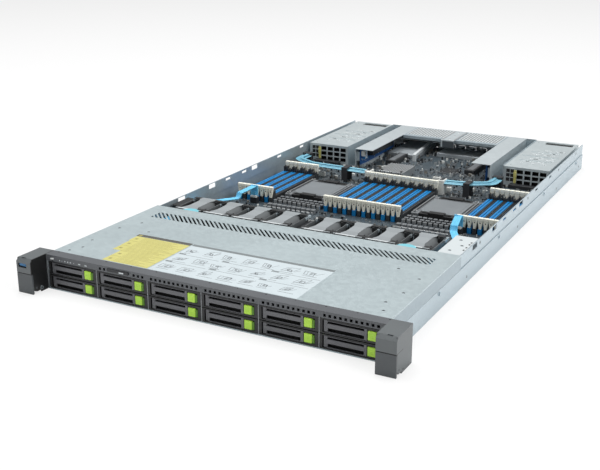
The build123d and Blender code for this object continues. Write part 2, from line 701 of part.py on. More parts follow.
def mainboard():
    board = block(-BOARD_HALF, BOARD_HALF, BOARD_FRONT, BOARD_STEP, BOARD_Z, BOARD_TOP)
    board += block(-TAIL_HALF, TAIL_HALF, BOARD_STEP, BODY_D - 4, BOARD_Z, BOARD_TOP)
    pieces = [board]
    side = BOARD_HALF - 11
    for y in (BOARD_FRONT + 18, CPU_Y + 8, PSU_FRONT - 23):
        pieces += [standoff(x, y) for x in (-side, -0.3 * side, 0.3 * side, side)]
    pieces += [standoff(x, BODY_D - 30) for x in (18 - TAIL_HALF, TAIL_HALF - 18)]
    for x in CPU_X:
        pieces += cpu_socket(x)
        pieces += regulators(x)
    pieces.append(heat_sink())
    low = BOARD_TOP
    y = PSU_FRONT + 22
    pieces.append(block(CHIP_X, CHIP_X + CHIP, y, y + CHIP, low, low + 4))
    plug = block(SIDE_PLUG_X, SIDE_PLUG_X + SIDE_PLUG_W, y + 10, y + 10 + SIDE_PLUG_L, low, low + 9)
    pieces += [plug, mirrored(plug)]
    for x in EDGE_PLUG_X:
        pieces.append(block(x, x + EDGE_PLUG_W, BOARD_FRONT + 4, BOARD_FRONT + 16, low, low + 11))
    link = power_link()
    pieces += [link, mirrored(link)]
    for x in PORT_X:
        pieces.append(port(x))
    return pieces


def heat_sink():
    """Finned block on the board's controller chip."""
    x0, x1 = SINK_X
    front = PSU_FRONT - REAR_ROOM / 2
    sink = block(x0, x1, front, PSU_FRONT, BOARD_TOP, BOARD_TOP + SINK_H)
    pitch = (x1 - x0 - 2.8) / FINS
    for index in range(FINS):
        x = x0 + 3 + index * pitch
        sink -= block(x, x + pitch * 0.6, front - 1, PSU_FRONT + 1, BOARD_TOP + 4, BOARD_TOP + SINK_H + 1)
    return sink


def power_link():
    """Right board connector that the power supply's edge plugs into."""
    x0 = PSU_IN + LINK_SIDE
    x1 = PSU_IN + PSU_W - LINK_SIDE
    y = PSU_FRONT - 1
    link = block(x0, x1, y - EDGE_L - 3, y, BOARD_TOP, BOARD_TOP + 6)
    link -= block(x0 + 2, x1 - 2, y - EDGE_L - 1, y + 1, EDGE_Z - SEAT, EDGE_Z + EDGE_T + SEAT)
    return link


def port(x):
    """A jack behind the rear panel, open to the rear."""
    gap = SEAT + 0.1
    wall = gap + PORT_WALL
    top = PORT_Z + PORT_H
    jack = block(x + gap, x + PORT_W - gap, BODY_D - PORT_L, BODY_D - 0.2, BOARD_TOP, top - gap)
    jack -= block(x + wall, x + PORT_W - wall, BODY_D - 14, BODY_D, BOARD_TOP + PORT_WALL, top - wall)
    return jack


def cpu_socket(x):
    """Processor socket: frame, lid, and the lever blocks before and behind it."""
    z = BOARD_TOP
    half_w = CPU_W / 2
    half_l = CPU_L / 2
    in_w = half_w - CPU_RIM
    in_l = half_l - CPU_RIM - 5
    frame = block(x - half_w, x + half_w, CPU_Y - half_l, CPU_Y + half_l, z, z + CPU_H)
    seat = z + CPU_H - 3
    frame -= block(x - in_w, x + in_w, CPU_Y - in_l, CPU_Y + in_l, seat, seat + 4)
    lid = block(x - in_w + 1, x + in_w - 1, CPU_Y - in_l + 1, CPU_Y + in_l - 1, seat, seat + 3.6)
    clips = []
    for y in (CPU_Y - half_l, CPU_Y + half_l - CLIP_L):
        clips.append(block(x - CLIP_W / 2, x + CLIP_W / 2, y, y + CLIP_L, z + CPU_H, z + CPU_H + CLIP_H))
    return [frame, lid] + clips


def regulators(x):
    """Rows of coils and capacitors in front of a processor."""
    row = []
    for index in range(COILS):
        x0 = x + (index - COILS / 2) * COIL_PITCH
        row.append(block(x0, x0 + COIL_W, COIL_Y, COIL_Y + COIL_W, BOARD_TOP, BOARD_TOP + COIL_H))
        row.append(block(x0, x0 + CAP_W, CAP_Y, CAP_Y + CAP_W, BOARD_TOP, BOARD_TOP + CAP_W))
    return row


def riser():
    """Right riser: bracket sheet, upright card and its slot."""
    x0, x1 = RISER_X
    bracket = block(x0, x1, RISER_FRONT, BODY_D - SHEET - SEAT, LID_Z - THIN, LID_Z)
    bracket += block(x1 - THIN, x1, RISER_FRONT, BODY_D - SHEET - SEAT, BOARD_TOP, LID_Z)
    face = x1 - THIN
    card_x = face - CARD_OFF
    low = BOARD_TOP + 5
    y = RISER_FRONT + 4
    card = block(card_x - CARD_T, card_x, y, y + CARD_L, low, LID_Z - THIN - 1)
    foot = block(card_x - CARD_T - 3, card_x + 3, y + 6, y + 96, BOARD_TOP, low)
    seat_x = card_x - CARD_T
    slot_y = y + SLOT_BACK
    slot = block(seat_x - SLOT_DEEP, seat_x, slot_y, slot_y + SLOT_L, SLOT_Z, SLOT_Z + SLOT_H)
    post = block(card_x, face, y + 2, y + 10, POST_Z[0], POST_Z[1])
    return [bracket, card, foot, slot, post]


def centre_bracket():
    """Silver hold-down bracket on the rear strip."""
    front = STRIP_FRONT - 8
    top = LID_Z + 1
    bracket = block(-HOLD_HALF, HOLD_HALF, front, BODY_D - 6, LID_Z, top)
    bracket += block(-HOLD_HALF, HOLD_HALF, front, front + 1, LID_Z - 12, top)
    return bracket


def slot_covers():
    """Vented plates that close the card openings and the network bay."""
    plates = []
    half = CARD_HALF - SEAT
    for x in (-CARD_X, CARD_X):
        plates.append(vented_plate(x - half, x + half, CARD_Z[0] + SEAT, CARD_Z[1] - SEAT, 10, 2))
    low, high = PORT_Z + SEAT, PORT_Z + PORT_H - SEAT
    plates.append(vented_plate(OCP_X[0] + SEAT, OCP_X[1] - SEAT, low, high, 10, 1))
    return plates


def vented_plate(x0, x1, z0, z1, across, rows):
    plate = block(x0, x1, BODY_D - 1.0, BODY_D, z0, z1)
    pitch_x = (x1 - x0 - 4) / across
    pitch_z = (z1 - z0 - 3) / rows
    for i in range(across):
        for k in range(rows):
            hx = x0 + 2 + (i + 0.18) * pitch_x
            hz = z0 + 1.5 + (k + 0.2) * pitch_z
            plate -= block(hx, hx + pitch_x * 0.64, BODY_D - 2, BODY_D + 1, hz, hz + pitch_z * 0.6)
    return plate


def power_supply():
    """Right power supply: folded case with embossed top, inner grille, inlet, handle and latch."""
    x0 = PSU_IN
    x1 = PSU_IN + PSU_W
    z0 = FLOOR_Z + SEAT
    z1 = z0 + PSU_H
    case = block(x0, x1, PSU_FRONT, BODY_D, z0, z1)
    for index in range(4):
        for row in range(3):
            hx = x0 + 22 + index * 12.4
            hz = z0 + 12 + row * 8.6
            case -= block(hx, hx + 10, PSU_FRONT - 1, PSU_FRONT + 12, hz, hz + 6.4)
    case -= block(x0 + 4, x0 + 20, PSU_FRONT - 1, PSU_FRONT + 3, z0 + 14, z1 - 4)
    middle = (x0 + x1) / 2
    for place, reach in enumerate((26.0, 30.0, 24.0)):
        y = PSU_FRONT + 52 + place * 32
        case += block(middle - reach, middle + reach, y, y + 5, z1, z1 + 0.6)
    case -= block(x0 + 20, x1 - 6, BODY_D - 24, BODY_D - 8, z1 - 1.5, z1 + 1)
    case -= block(x0 + 5, x0 + 33, BODY_D - 16, BODY_D + 1, z0 + 9, z0 + 29)
    inlet = block(x0 + 7, x0 + 31, BODY_D - 16, BODY_D - 1, z0 + 10.5, z0 + 27.5)
    inlet -= block(x0 + 9, x0 + 29, BODY_D - 13, BODY_D, z0 + 12.5, z0 + 25.5)
    for row in range(3):
        z = z0 + 6 + row * 9.5
        case -= block(x0 + 40, x1 - 5, BODY_D - 6, BODY_D + 1, z, z + 6.5)
    blades = []
    for px in (x0 + 13.5, x0 + 19, x0 + 24.5):
        blades.append(block(px - 1, px + 1, BODY_D - 13, BODY_D - 4, z0 + 17, z0 + 21))
    side = LINK_SIDE + 2 + SEAT
    edge = block(x0 + side, x1 - side, PSU_FRONT - EDGE_L, PSU_FRONT, EDGE_Z, EDGE_Z + EDGE_T)
    grip_x = x0 + GRIP_X
    grip = block(grip_x, grip_x + GRIP_T, BODY_D, BODY_D + HANDLE_OUT, z0 + 6, z0 + 32)
    gap_end = BODY_D + HANDLE_OUT - GRIP_T
    grip -= block(grip_x - 0.5, grip_x + GRIP_T + 0.5, BODY_D - 1, gap_end, z0 + 10, z0 + 28)
    tab = block(x1 - 4, x1 - 1, BODY_D, BODY_D + 14, z0 + 12, z0 + 26)
    return [case, inlet] + blades + [edge, grip, tab]


def flat_cable(points, z, width, bend):
    """A flat cable lying level, with rounded turns, cut square at both ends."""
    route = FilletPolyline(*[(x, y, z) for x, y in points], radius=bend)
    across = (route % 0).cross(Vector(0, 0, 1))
    section = Plane(origin=route @ 0, x_dir=across, z_dir=route % 0) * Rectangle(width, CABLE_T)
    return sweep(section, route)


def internal_cables():
    """Flat signal cables to the backplane, the trunk between the fans, and the rear bands."""
    rear = BACKPLANE_Y + BOARD_T + PLUG_L
    pieces = []
    for plug_x, gap_x in zip(PLUG_X, CABLE_X):
        lean = 0.2 * (gap_x - plug_x)
        turn_y = PLUG_Y - 0.315 * FRONT_ROOM
        gap_y = PLUG_Y - 0.72 * FRONT_ROOM
        points = [(plug_x, PLUG_Y), (plug_x + lean, turn_y), (gap_x, gap_y), (gap_x, rear)]
        pieces.append(flat_cable(points, CABLE_Z, CABLE_W, CABLE_BEND))
        pieces.append(block(plug_x - 6, plug_x + 6, PLUG_Y, PLUG_Y + 4, CABLE_Z - 6, CABLE_Z + 12))
        pieces.append(block(plug_x - 6, plug_x + 6, PLUG_Y - 2, PLUG_Y + 6, BOARD_TOP, CABLE_Z - 6))
    pieces.append(rod_y(TRUNK_X, rear, BOARD_FRONT + 4, CABLE_Z, TRUNK_D / 2))
    end = BOARD_FRONT + 4
    pieces.append(block(TRUNK_X - 8, TRUNK_X + 8, end, end + 10, BOARD_TOP, CABLE_Z + 7))
    for inner, outer in BAND_ENDS:
        turn = 1 if outer > inner else -1
        near = (outer - turn * BAND_LEAN, BAND_Y + 0.08 * BAND_RUN)
        points = [(inner, BAND_Y), near, (outer, BAND_Y + 0.46 * BAND_RUN), (outer, BAND_Y + BAND_RUN)]
        pieces.append(flat_cable(points, BAND_Z, BAND_W, BAND_BEND))
        pieces.append(block(inner - turn * 10 if turn > 0 else inner, inner if turn > 0 else inner + 10,
                            BAND_Y - 8, BAND_Y + 8, BOARD_TOP, BAND_Z + 4))
        stop = BAND_Y + BAND_RUN
        pieces.append(block(outer - 8, outer + 8, stop, stop + 10, BOARD_TOP, BAND_Z + 4))
        x = inner + turn * BAND_LEAN
        front = BAND_Y - BAND_W / 2
        rear = BAND_Y + BAND_W / 2 + 4
        clip = block(x - 5, x + 5, front - 1.5, rear + 1, BOARD_TOP, BAND_Z + 2.4)
        clip -= block(x - 6, x + 6, front - 0.4, rear, BAND_Z - CABLE_T / 2, BAND_Z + CABLE_T / 2)
        pieces.append(clip)
    return pieces


for column, row in BAYS:
    tag = f"{row * COLUMNS + column + 1:02d}"
    save(f"drive_carrier_{tag}", *carrier(column, row))
    save(f"drive_lever_{tag}", lever(column, row))
    save(f"drive_latch_{tag}", latch(column, row))
for index in range(2 * FANS_A_SIDE):
    save(f"fan_rotor_{index + 1}", fan_rotor(index))
supply = power_supply()
save("power_supply_right", *supply)
save("power_supply_left", *[Pos(-2 * PSU_IN - PSU_W, 0, 0) * piece for piece in supply])
save("ear_flap_right", ear_flap())
save("ear_flap_left", mirrored(ear_flap()))
save("power_button", power_button())
save("service_tag", service_tag())
save("chassis_tray", chassis_tray(), rear_strip(), *rear_frame())
save("front_cover", *front_cover())
save("front_frame", *front_frame())
save("rack_ears", rack_ear(), *left_ear())
save("drive_cage_and_backplane", *drive_cage(), *drive_backplane())
save("fan_housings", *[fan_housing(index) for index in range(2 * FANS_A_SIDE)], *fan_dividers())
save("mainboard", *mainboard())
save("memory_sockets", *memory_bank())
save("internal_cables", *internal_cables())
right = riser()
left = [mirrored(piece) for piece in right]
save("riser_cages", *right, *left, *slot_covers(), centre_bracket())
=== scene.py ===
import math
import random

import bmesh
import bpy
from mathutils import Matrix, Vector


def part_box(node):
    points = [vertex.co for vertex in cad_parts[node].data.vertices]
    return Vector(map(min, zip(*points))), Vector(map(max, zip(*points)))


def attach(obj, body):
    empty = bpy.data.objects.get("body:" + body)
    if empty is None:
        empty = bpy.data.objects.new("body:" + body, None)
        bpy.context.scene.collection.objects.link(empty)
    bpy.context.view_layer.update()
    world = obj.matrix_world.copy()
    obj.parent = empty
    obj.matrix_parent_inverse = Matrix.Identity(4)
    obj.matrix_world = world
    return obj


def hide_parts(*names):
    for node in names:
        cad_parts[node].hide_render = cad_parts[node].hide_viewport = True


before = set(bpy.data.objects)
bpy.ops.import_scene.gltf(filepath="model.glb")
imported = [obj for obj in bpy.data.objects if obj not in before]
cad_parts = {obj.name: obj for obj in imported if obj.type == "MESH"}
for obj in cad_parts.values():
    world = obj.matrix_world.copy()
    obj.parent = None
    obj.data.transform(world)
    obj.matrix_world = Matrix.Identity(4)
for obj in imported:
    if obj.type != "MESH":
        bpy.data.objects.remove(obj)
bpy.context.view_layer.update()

# Camera: a little left of the drive bays and above them, so that the whole depth is seen.
# It is level and centred, and its lens gives the photograph's frame.
CAMERA_SPOT = (0.5557, -1.2509, 0.4335)
CAMERA_TURN = (math.radians(71.349), 0.0, math.radians(27.905))
LENS = 58.32

lens = bpy.data.cameras.new("camera")
lens.sensor_width = 36.0
lens.lens = LENS
lens.clip_end = 60.0
camera = bpy.data.objects.new("camera", lens)
camera.location = CAMERA_SPOT
camera.rotation_euler = CAMERA_TURN
bpy.context.scene.collection.objects.link(camera)
bpy.context.scene.camera = camera


# Studio: a seamless pale floor under broad soft lamps. The strongest hangs overhead and the key
# stands on the right, so that the steel's side wall is a shade darker than its top.
def srgb(red, green, blue):
    """A colour given in the 0 to 255 steps of a screen, as the shaders take it."""
    parts = [value / 255 for value in (red, green, blue)]
    return tuple(v / 12.92 if v <= 0.04045 else ((v + 0.055) / 1.055) ** 2.4 for v in parts) + (1.0,)


class Wire:
    """A shader socket that takes part in sums; each operator adds its Math node."""

    def __init__(self, finish, socket):
        self.finish = finish
        self.socket = socket

    def maths(self, operation, *values):
        return self.finish.node("ShaderNodeMath", {"operation": operation}, dict(enumerate(values)))

    def __add__(self, other):
        return self.maths("ADD", self, other)

    def __sub__(self, other):
        return self.maths("SUBTRACT", self, other)

    def __rsub__(self, other):
        return self.maths("SUBTRACT", other, self)

    def __mul__(self, other):
        return self.maths("MULTIPLY", self, other)

    def __gt__(self, other):
        return self.maths("GREATER_THAN", self, other)

    def __lt__(self, other):
        return self.maths("LESS_THAN", self, other)

    __radd__ = __add__
    __rmul__ = __mul__


class Finish:
    """A procedural material on Object coordinates, made node by node."""

    def __init__(self, name, tree=None, **constants):
        if tree is None:
            self.material = bpy.data.materials.new(name)
            self.material.use_nodes = True
            tree = self.material.node_tree
            self.shader = tree.nodes["Principled BSDF"]
            for key, value in constants.items():
                self.shader.inputs[key.replace("_", " ").title()].default_value = value
        self.tree = tree

    def feed(self, socket, value):
        if isinstance(value, Wire):
            self.tree.links.new(value.socket, socket)
        else:
            socket.default_value = value

    def node(self, kind, settings=None, sockets=None, out=0):
        made = self.tree.nodes.new(kind)
        for key, value in (settings or {}).items():
            if key == "stops":
                while len(made.color_ramp.elements) < len(value):
                    made.color_ramp.elements.new(0.5)
                for element, (place, colour) in zip(made.color_ramp.elements, value):
                    element.position = place
                    element.color = colour
            else:
                setattr(made, key, value)
        for key, value in (sockets or {}).items():
            self.feed(made.inputs[key], value)
        return Wire(self, made.outputs[out])

    def mix(self, share, low, high):
        """A colour between low and high."""
        return self.node("ShaderNodeMix", {"data_type": "RGBA"}, {0: share, 6: low, 7: high}, 2)

    def place(self):
        return self.node("ShaderNodeTexCoord", out="Object")

    def along(self, axis):
        """One Object coordinate, in metres."""
        return self.node("ShaderNodeSeparateXYZ", sockets={0: self.place()}, out="XYZ".index(axis))

    def grain(self, size, detail=2.0, stretch=(1, 1, 1)):
        """Noise from 0 to 1 whose marks are about size metres across."""
        spot = self.node("ShaderNodeMapping", sockets={"Vector": self.place(), "Scale": stretch})
        return self.node("ShaderNodeTexNoise", sockets={"Vector": spot, "Scale": 1 / size, "Detail": detail})

    def ease(self, value, low, high, start=0.0, end=1.0):
        """value carried from the span low..high to start..end, and held there outside it."""
        return self.node("ShaderNodeMapRange", sockets={0: value, 1: low, 2: high, 3: start, 4: end})

    def colour(self, value):
        self.feed(self.shader.inputs["Base Color"], value)

    def tone(self):
        """The colour that is fed so far, to be mixed with another."""
        return Wire(self, self.shader.inputs["Base Color"].links[0].from_socket)

    def metal(self, value):
        self.feed(self.shader.inputs["Metallic"], value)

    def rough(self, value):
        self.feed(self.shader.inputs["Roughness"], value)

    def bump(self, height, distance, strength=1.0):
        raised = self.node("ShaderNodeBump", sockets={"Height": height, "Distance": distance,
                                                      "Strength": strength})
        self.feed(self.shader.inputs["Normal"], raised)


FLOOR_SIZE = 14.0
AMBIENT = 0.42  # what the sky gives the object
BACKDROP = 1.0  # what the camera sees of it
FLOOR_GLOW = 0.7  # share of plain white in the floor that the camera sees
WHITE = (1.0, 1.0, 1.0, 1.0)
LAMPS = (
    ("key", (2.7, 0.1, 2.2), 2.4, 50.0),
    ("overhead", (-0.5, 0.2, 3.0), 2.8, 84.0),
    ("front", (-1.2, -2.8, 1.6), 2.0, 5.0),
)

studio = bpy.data.worlds.new("studio")
studio.use_nodes = True
bpy.context.scene.world = studio
sky = Finish("studio", tree=studio.node_tree)
seen = sky.node("ShaderNodeLightPath", out="Is Camera Ray")
sky.feed(studio.node_tree.nodes["Background"].inputs["Strength"], seen * (BACKDROP - AMBIENT) + AMBIENT)
studio.node_tree.nodes["Background"].inputs["Color"].default_value = WHITE

floor_mesh = bmesh.new()
bmesh.ops.create_grid(floor_mesh, x_segments=1, y_segments=1, size=FLOOR_SIZE / 2)
floor_data = bpy.data.meshes.new("floor")
floor_mesh.to_mesh(floor_data)
floor = bpy.data.objects.new("floor", floor_data)
bpy.context.scene.collection.objects.link(floor)
paper = Finish("studio paper", roughness=0.9, base_color=(0.9, 0.9, 0.9, 1.0))
white = paper.node("ShaderNodeEmission", sockets={"Color": WHITE, "Strength": 1.0})
plain = Wire(paper, paper.shader.outputs[0])
shown = paper.node("ShaderNodeLightPath", out="Is Camera Ray")
blend = paper.node("ShaderNodeMixShader", sockets={0: shown * FLOOR_GLOW, 1: plain, 2: white})
paper.feed(paper.tree.nodes["Material Output"].inputs["Surface"], blend)
floor_data.materials.append(paper.material)

for name, spot, size, power in LAMPS:
    lamp = bpy.data.lights.new(name, "AREA")
    lamp.size = size
    lamp.energy = power
    stand = bpy.data.objects.new(name, lamp)
    stand.location = spot
    stand.rotation_euler = (-Vector(spot)).to_track_quat("-Z", "Y").to_euler()
    bpy.context.scene.collection.objects.link(stand)

bpy.context.scene.view_settings.view_transform = "Standard"

# Chassis tray: one folded sheet of galvanised steel with a spangled, slightly uneven skin.
# Its walls step in near the top, and rivet-like studs for the slide rails stand on their outside.
MM = 0.001
BEZEL_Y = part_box("front_frame")[0].y  # the drive faces, from which all depths are counted
BODY_W, BODY_H, BODY_D = 438.0, 43.5, 870.0
HALF_W = BODY_W / 2
SHEET = 1.2
LID_Z = BODY_H - SHEET  # top of the tray's walls and of the rear strip
WALL_IN = HALF_W - 2 * SHEET  # inner face of the upper walls


def galvanised(name, pale, dark, rough=0.4):
    """Zinc-coated sheet: small crystals that differ a little in shade, under a faint roller grain."""
    steel = Finish(name, metallic=0.5)
    crystal = steel.node("ShaderNodeTexVoronoi", sockets={"Vector": steel.place(), "Scale": 240.0},
                         out="Color")
    shade = steel.node("ShaderNodeSeparateColor", sockets={0: crystal})
    cloud = steel.grain(0.09, 3.0)
    grain = steel.grain(0.0012, 2.0, (1.0, 0.12, 1.0))
    steel.colour(steel.mix(shade * 0.3 + cloud * 0.55 + grain * 0.15, dark, pale))
    steel.rough(shade * 0.08 + cloud * 0.1 + (rough - 0.09))
    steel.bump(grain + shade * 0.4, 0.00004, 0.5)
    return steel


def depth(behind):
    """World Y of a place some millimetres behind the drive faces."""
    return BEZEL_Y + behind * MM


def clad(node, finish):
    """Gives a node of the CAD part its one finish."""
    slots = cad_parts[node].data.materials
    slots.clear()
    slots.append(finish.material)


tray_steel = galvanised("galvanised sheet", srgb(192, 205, 211), srgb(168, 182, 190))
clad("chassis_tray", tray_steel)

# Front cover: a second galvanised sheet over the drives, with a band of slanted vents and
# two half-round lift tabs in coloured plastic under its rear edge.
COVER_BACK = 225.0
TAB_BLUE = srgb(120, 196, 210)
FLANGE_SHADE = srgb(158, 172, 179)
cover_steel = galvanised("cover sheet", srgb(198, 211, 214), srgb(180, 194, 198), 0.38)
# Painted shade: the cover's downturned flange is painted a darker grey than its top, for the shade under the
# cover's edge.
flange = cover_steel.along("Z") < (BODY_H - SHEET - 0.1) * MM
cover_steel.colour(cover_steel.mix(flange, cover_steel.tone(), FLANGE_SHADE))
tab = cover_steel.along("Y") > depth(COVER_BACK + 0.02)
cover_steel.colour(cover_steel.mix(tab, cover_steel.tone(), TAB_BLUE))
cover_steel.metal(0.5 - tab * 0.5)
clad("front_cover", cover_steel)

# Cover screws: small flat steel heads with a cross recess. They are driven from above and hold
# the cover to the tray's walls.
def paint(verts, material):
    """Gives the faces around some corners one of the piece's finishes."""
    faces = {face for vert in verts for face in vert.link_faces}
    for face in faces:
        face.material_index = material
    return faces


def slab(bm, x, y, z, edge=0.0, material=0, steps=1):
    """A block from its span in millimetres along each axis, with its edges rounded by edge."""
    size = [span[1] - span[0] for span in (x, y, z)]
    middle = [(span[0] + span[1]) / 2 for span in (x, y, z)]
    made = bmesh.ops.create_cube(bm, size=1.0)["verts"]
    bmesh.ops.scale(bm, vec=size, verts=made)
    bmesh.ops.translate(bm, vec=middle, verts=made)
    faces = paint(made, material)
    if edge:
        edges = list({line for vert in made for line in vert.link_edges})
        bmesh.ops.bevel(bm, geom=edges, offset=edge, affect="EDGES", segments=steps, profile=0.5, material=-1)
    return faces


def around(middle, half):
    """The span that reaches half to either side of a middle."""
    return middle - half, middle + half


def beyond(middle, side, near, far):
    """The span between two distances from a middle, on the side that a sign gives."""
    return sorted((middle + side * near, middle + side * far))


def rod(bm, start, end, radius, sides, material=0, tip=None):
    """A round bar between two points in millimetres, with a second radius for a taper."""
    start, end = Vector(start), Vector(end)
    axis = end - start
    turn = axis.to_track_quat("Z", "Y").to_matrix().to_4x4()
    made = bmesh.ops.create_cone(bm, cap_ends=True, segments=sides, radius1=radius,
                                 radius2=radius if tip is None else tip, depth=axis.length,
                                 matrix=Matrix.Translation((start + end) / 2) @ turn)["verts"]
    paint(made, material)


def piece(name, bm, finishes, body="root", stands_for=()):
    """Sets a mesh that is drawn in millimetres from the drive faces at its place on a body."""
    bm.transform(Matrix.Translation((0, BEZEL_Y, 0)) @ Matrix.Scale(MM, 4))
    data = bpy.data.meshes.new(name)
    bm.to_mesh(data)
    bm.free()
    for finish in finishes:
        data.materials.append(finish.material)
    made = bpy.data.objects.new(name, data)
    bpy.context.scene.collection.objects.link(made)
    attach(made, body)
    if stands_for:
        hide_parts(*stands_for)


def drifting(name, dark, pale, size, **constants):
    """A smooth finish whose shade drifts between two colours."""
    finish = Finish(name, **constants)
    finish.colour(finish.mix(finish.grain(size), dark, pale))
    return finish


screw_steel = drifting("screw steel", srgb(96, 104, 108), srgb(150, 158, 162), 0.0006, metallic=0.9,
                       roughness=0.32)
# Painted shade: cross recesses, holes and slots take this near-black, for the shade inside them.
recess_shade = drifting("shadowed recess", srgb(18, 19, 20), srgb(34, 36, 38), 0.002, roughness=0.8)


def screw(bm, x, y, z, radius, proud):
    """A low head with a cross recess, looking up."""
    rod(bm, (x, y, z), (x, y, z + proud), radius, 14, 0, radius * 0.8)
    for long, wide in ((0.62, 0.13), (0.13, 0.62)):
        slab(bm, (x - radius * long, x + radius * long), (y - radius * wide, y + radius * wide),
             (z + proud - 0.05, z + proud + 0.04), material=1)


COVER_SCREWS = ((-203.0, 24.0), (-203.0, 66.0), (-203.0, 120.0), (-196.0, 40.0), (-160.0, 124.0),
                (-190.0, 150.0), (203.0, 30.0), (203.0, 84.0), (196.0, 52.0), (170.0, 150.0),
                (203.0, 130.0))
heads = bmesh.new()
for x, y in COVER_SCREWS:
    screw(heads, x, y, BODY_H, 1.9, 0.2)
piece("cover_screws", heads, [screw_steel, recess_shade])

# Printed sheets on the cover: a yellow panel and a white one, stuck on, each with a dark header
# at its rear edge. They carry ruled rows and small sketches of empty boxes.
LABEL_T = 0.06
LABEL_FRONT, LABEL_HEAD = 16.5, 105.0  # front edge and start of the header
YELLOW_ROW, YELLOW_RULE = 17.6, 0.8
YELLOW_LEFT = (-148, -148, -160, -161, -163)  # the stepped left edge, row by row
YELLOW_RIGHT = -84
WHITE_X = (-82, 110)
WHITE_RULES_Y = (46.5, 74.5)
SKETCH_PITCH = (26.5, 28.0)
label_yellow = drifting("yellow print", srgb(194, 188, 108), srgb(208, 202, 124), 0.01, roughness=0.5)
label_white = drifting("white print", srgb(192, 203, 207), srgb(202, 212, 216), 0.02, roughness=0.5)
ink_grey = drifting("grey ink", srgb(112, 118, 122), srgb(140, 146, 150), 0.004, roughness=0.55)
ink_dark = drifting("dark ink", srgb(70, 70, 66), srgb(92, 92, 88), 0.004, roughness=0.55)
ink_brown = drifting("brown ink", srgb(150, 142, 82), srgb(170, 160, 96), 0.004, roughness=0.55)
ink_soft = drifting("soft ink", srgb(112, 119, 121), srgb(126, 133, 135), 0.004, roughness=0.55)

sheet_z = (BODY_H, BODY_H + LABEL_T)
ink_z = (BODY_H + LABEL_T * 0.5, BODY_H + LABEL_T * 1.4)


def stroke(bm, start, end, pen, material=2):
    """A printed line from one point of the sheet to another."""
    run = math.dist(start, end)
    made = bmesh.ops.create_cube(bm, size=1.0)["verts"]
    bmesh.ops.scale(bm, vec=(run, pen, ink_z[1] - ink_z[0]), verts=made)
    turn = Matrix.Rotation(math.atan2(end[1] - start[1], end[0] - start[0]), 3, "Z")
    bmesh.ops.rotate(bm, cent=(0, 0, 0), matrix=turn, verts=made)
    middle = ((start[0] + end[0]) / 2, (start[1] + end[1]) / 2, sum(ink_z) / 2)
    bmesh.ops.translate(bm, vec=middle, verts=made)
    paint(made, material)


def sketch(bm, x, y, wide, deep, lean, pen=0.8):
    """An empty leaning box with one inner line, as on an assembly drawing."""
    corners = [(x, y), (x + wide, y + lean), (x + wide + lean, y + lean + deep), (x + lean, y + deep)]
    for place in range(4):
        stroke(bm, corners[place], corners[place - 1], pen)
    stroke(bm, (x + wide * 0.3, y + lean * 0.3), (x + wide * 0.3 + lean, y + lean * 0.3 + deep), pen * 0.7)


yellow = bmesh.new()
for row, left in enumerate(YELLOW_LEFT):
    y = LABEL_FRONT + row * YELLOW_ROW
    rule = y + YELLOW_ROW - YELLOW_RULE
    slab(yellow, (left, YELLOW_RIGHT), (y, rule), sheet_z)
    slab(yellow, (left, YELLOW_RIGHT), (rule, rule + YELLOW_RULE), sheet_z, material=1)
    slab(yellow, (left + 4, left + 8), (y + 6, y + 10), ink_z, material=1)
    for line in range(4):
        right = YELLOW_RIGHT - 5 - (row * 7 + line * 11) % 17
        base = y + 2.6 + line * 3.4
        slab(yellow, (left + 14, right), (base, base + 0.8), ink_z, material=1)
slab(yellow, (-165, YELLOW_RIGHT), (LABEL_HEAD, LABEL_HEAD + 7), sheet_z, material=2)
slab(yellow, (-163, -158), (106.5, 110.5), ink_z, material=1)
piece("cover_label_yellow", yellow, [label_yellow, ink_brown, ink_dark])

white = bmesh.new()
slab(white, WHITE_X, (LABEL_FRONT - 0.5, LABEL_HEAD), sheet_z)
slab(white, WHITE_X, (LABEL_HEAD, LABEL_HEAD + 6), sheet_z, material=3)
draw = random.Random(11)
for column in range(7):
    for row in range(3):
        x = WHITE_X[0] + 3 + column * SKETCH_PITCH[0] + draw.uniform(0, 4)
        y = LABEL_FRONT + 4.5 + row * SKETCH_PITCH[1] + draw.uniform(0, 3)
        wide = draw.uniform(9, 16)
        deep = draw.uniform(7, 12)
        sketch(white, x, y + 6, wide, deep, draw.uniform(-3, 4))
        sketch(white, x + wide * 0.5, y + 8, wide * 0.4, deep * 0.5, draw.uniform(-2, 2), 1.1)
        stroke(white, (x + wide + 1, y + 8), (x + wide + draw.uniform(4, 8), y + draw.uniform(10, 18)), 0.7)
        stroke(white, (x, y + 2), (x + draw.uniform(8, 22), y + 2), 0.8, 3 if column % 3 == row else 2)
for y in WHITE_RULES_Y:
    for left, right in ((-80, -24), (-20, 40), (46, 108)):
        stroke(white, (left, y), (right, y), 0.8)
        slab(white, (left, left + 9), (y + 0.8, y + 3.6), ink_z, material=3)
piece("cover_label_white", white, [label_white, ink_dark, ink_grey, ink_soft])

# Front frame: a moulded dark grey strip over the drive bays, with its vent holes, the power
# button and the tab of the tag. Small marks are printed in a row over the first column.
def moulded(name, pale, dark, rough):
    """Moulded plastic with a fine spark-eroded grain and a little unevenness of shade."""
    plastic = Finish(name)
    cloud = plastic.grain(0.03, 2.0)
    pores = plastic.grain(0.0006, 1.0)
    plastic.colour(plastic.mix(cloud * 0.7 + pores * 0.3, dark, pale))
    plastic.rough(cloud * 0.1 + pores * 0.08 + (rough - 0.09))
    plastic.bump(pores, 0.00003, 0.6)
    return plastic


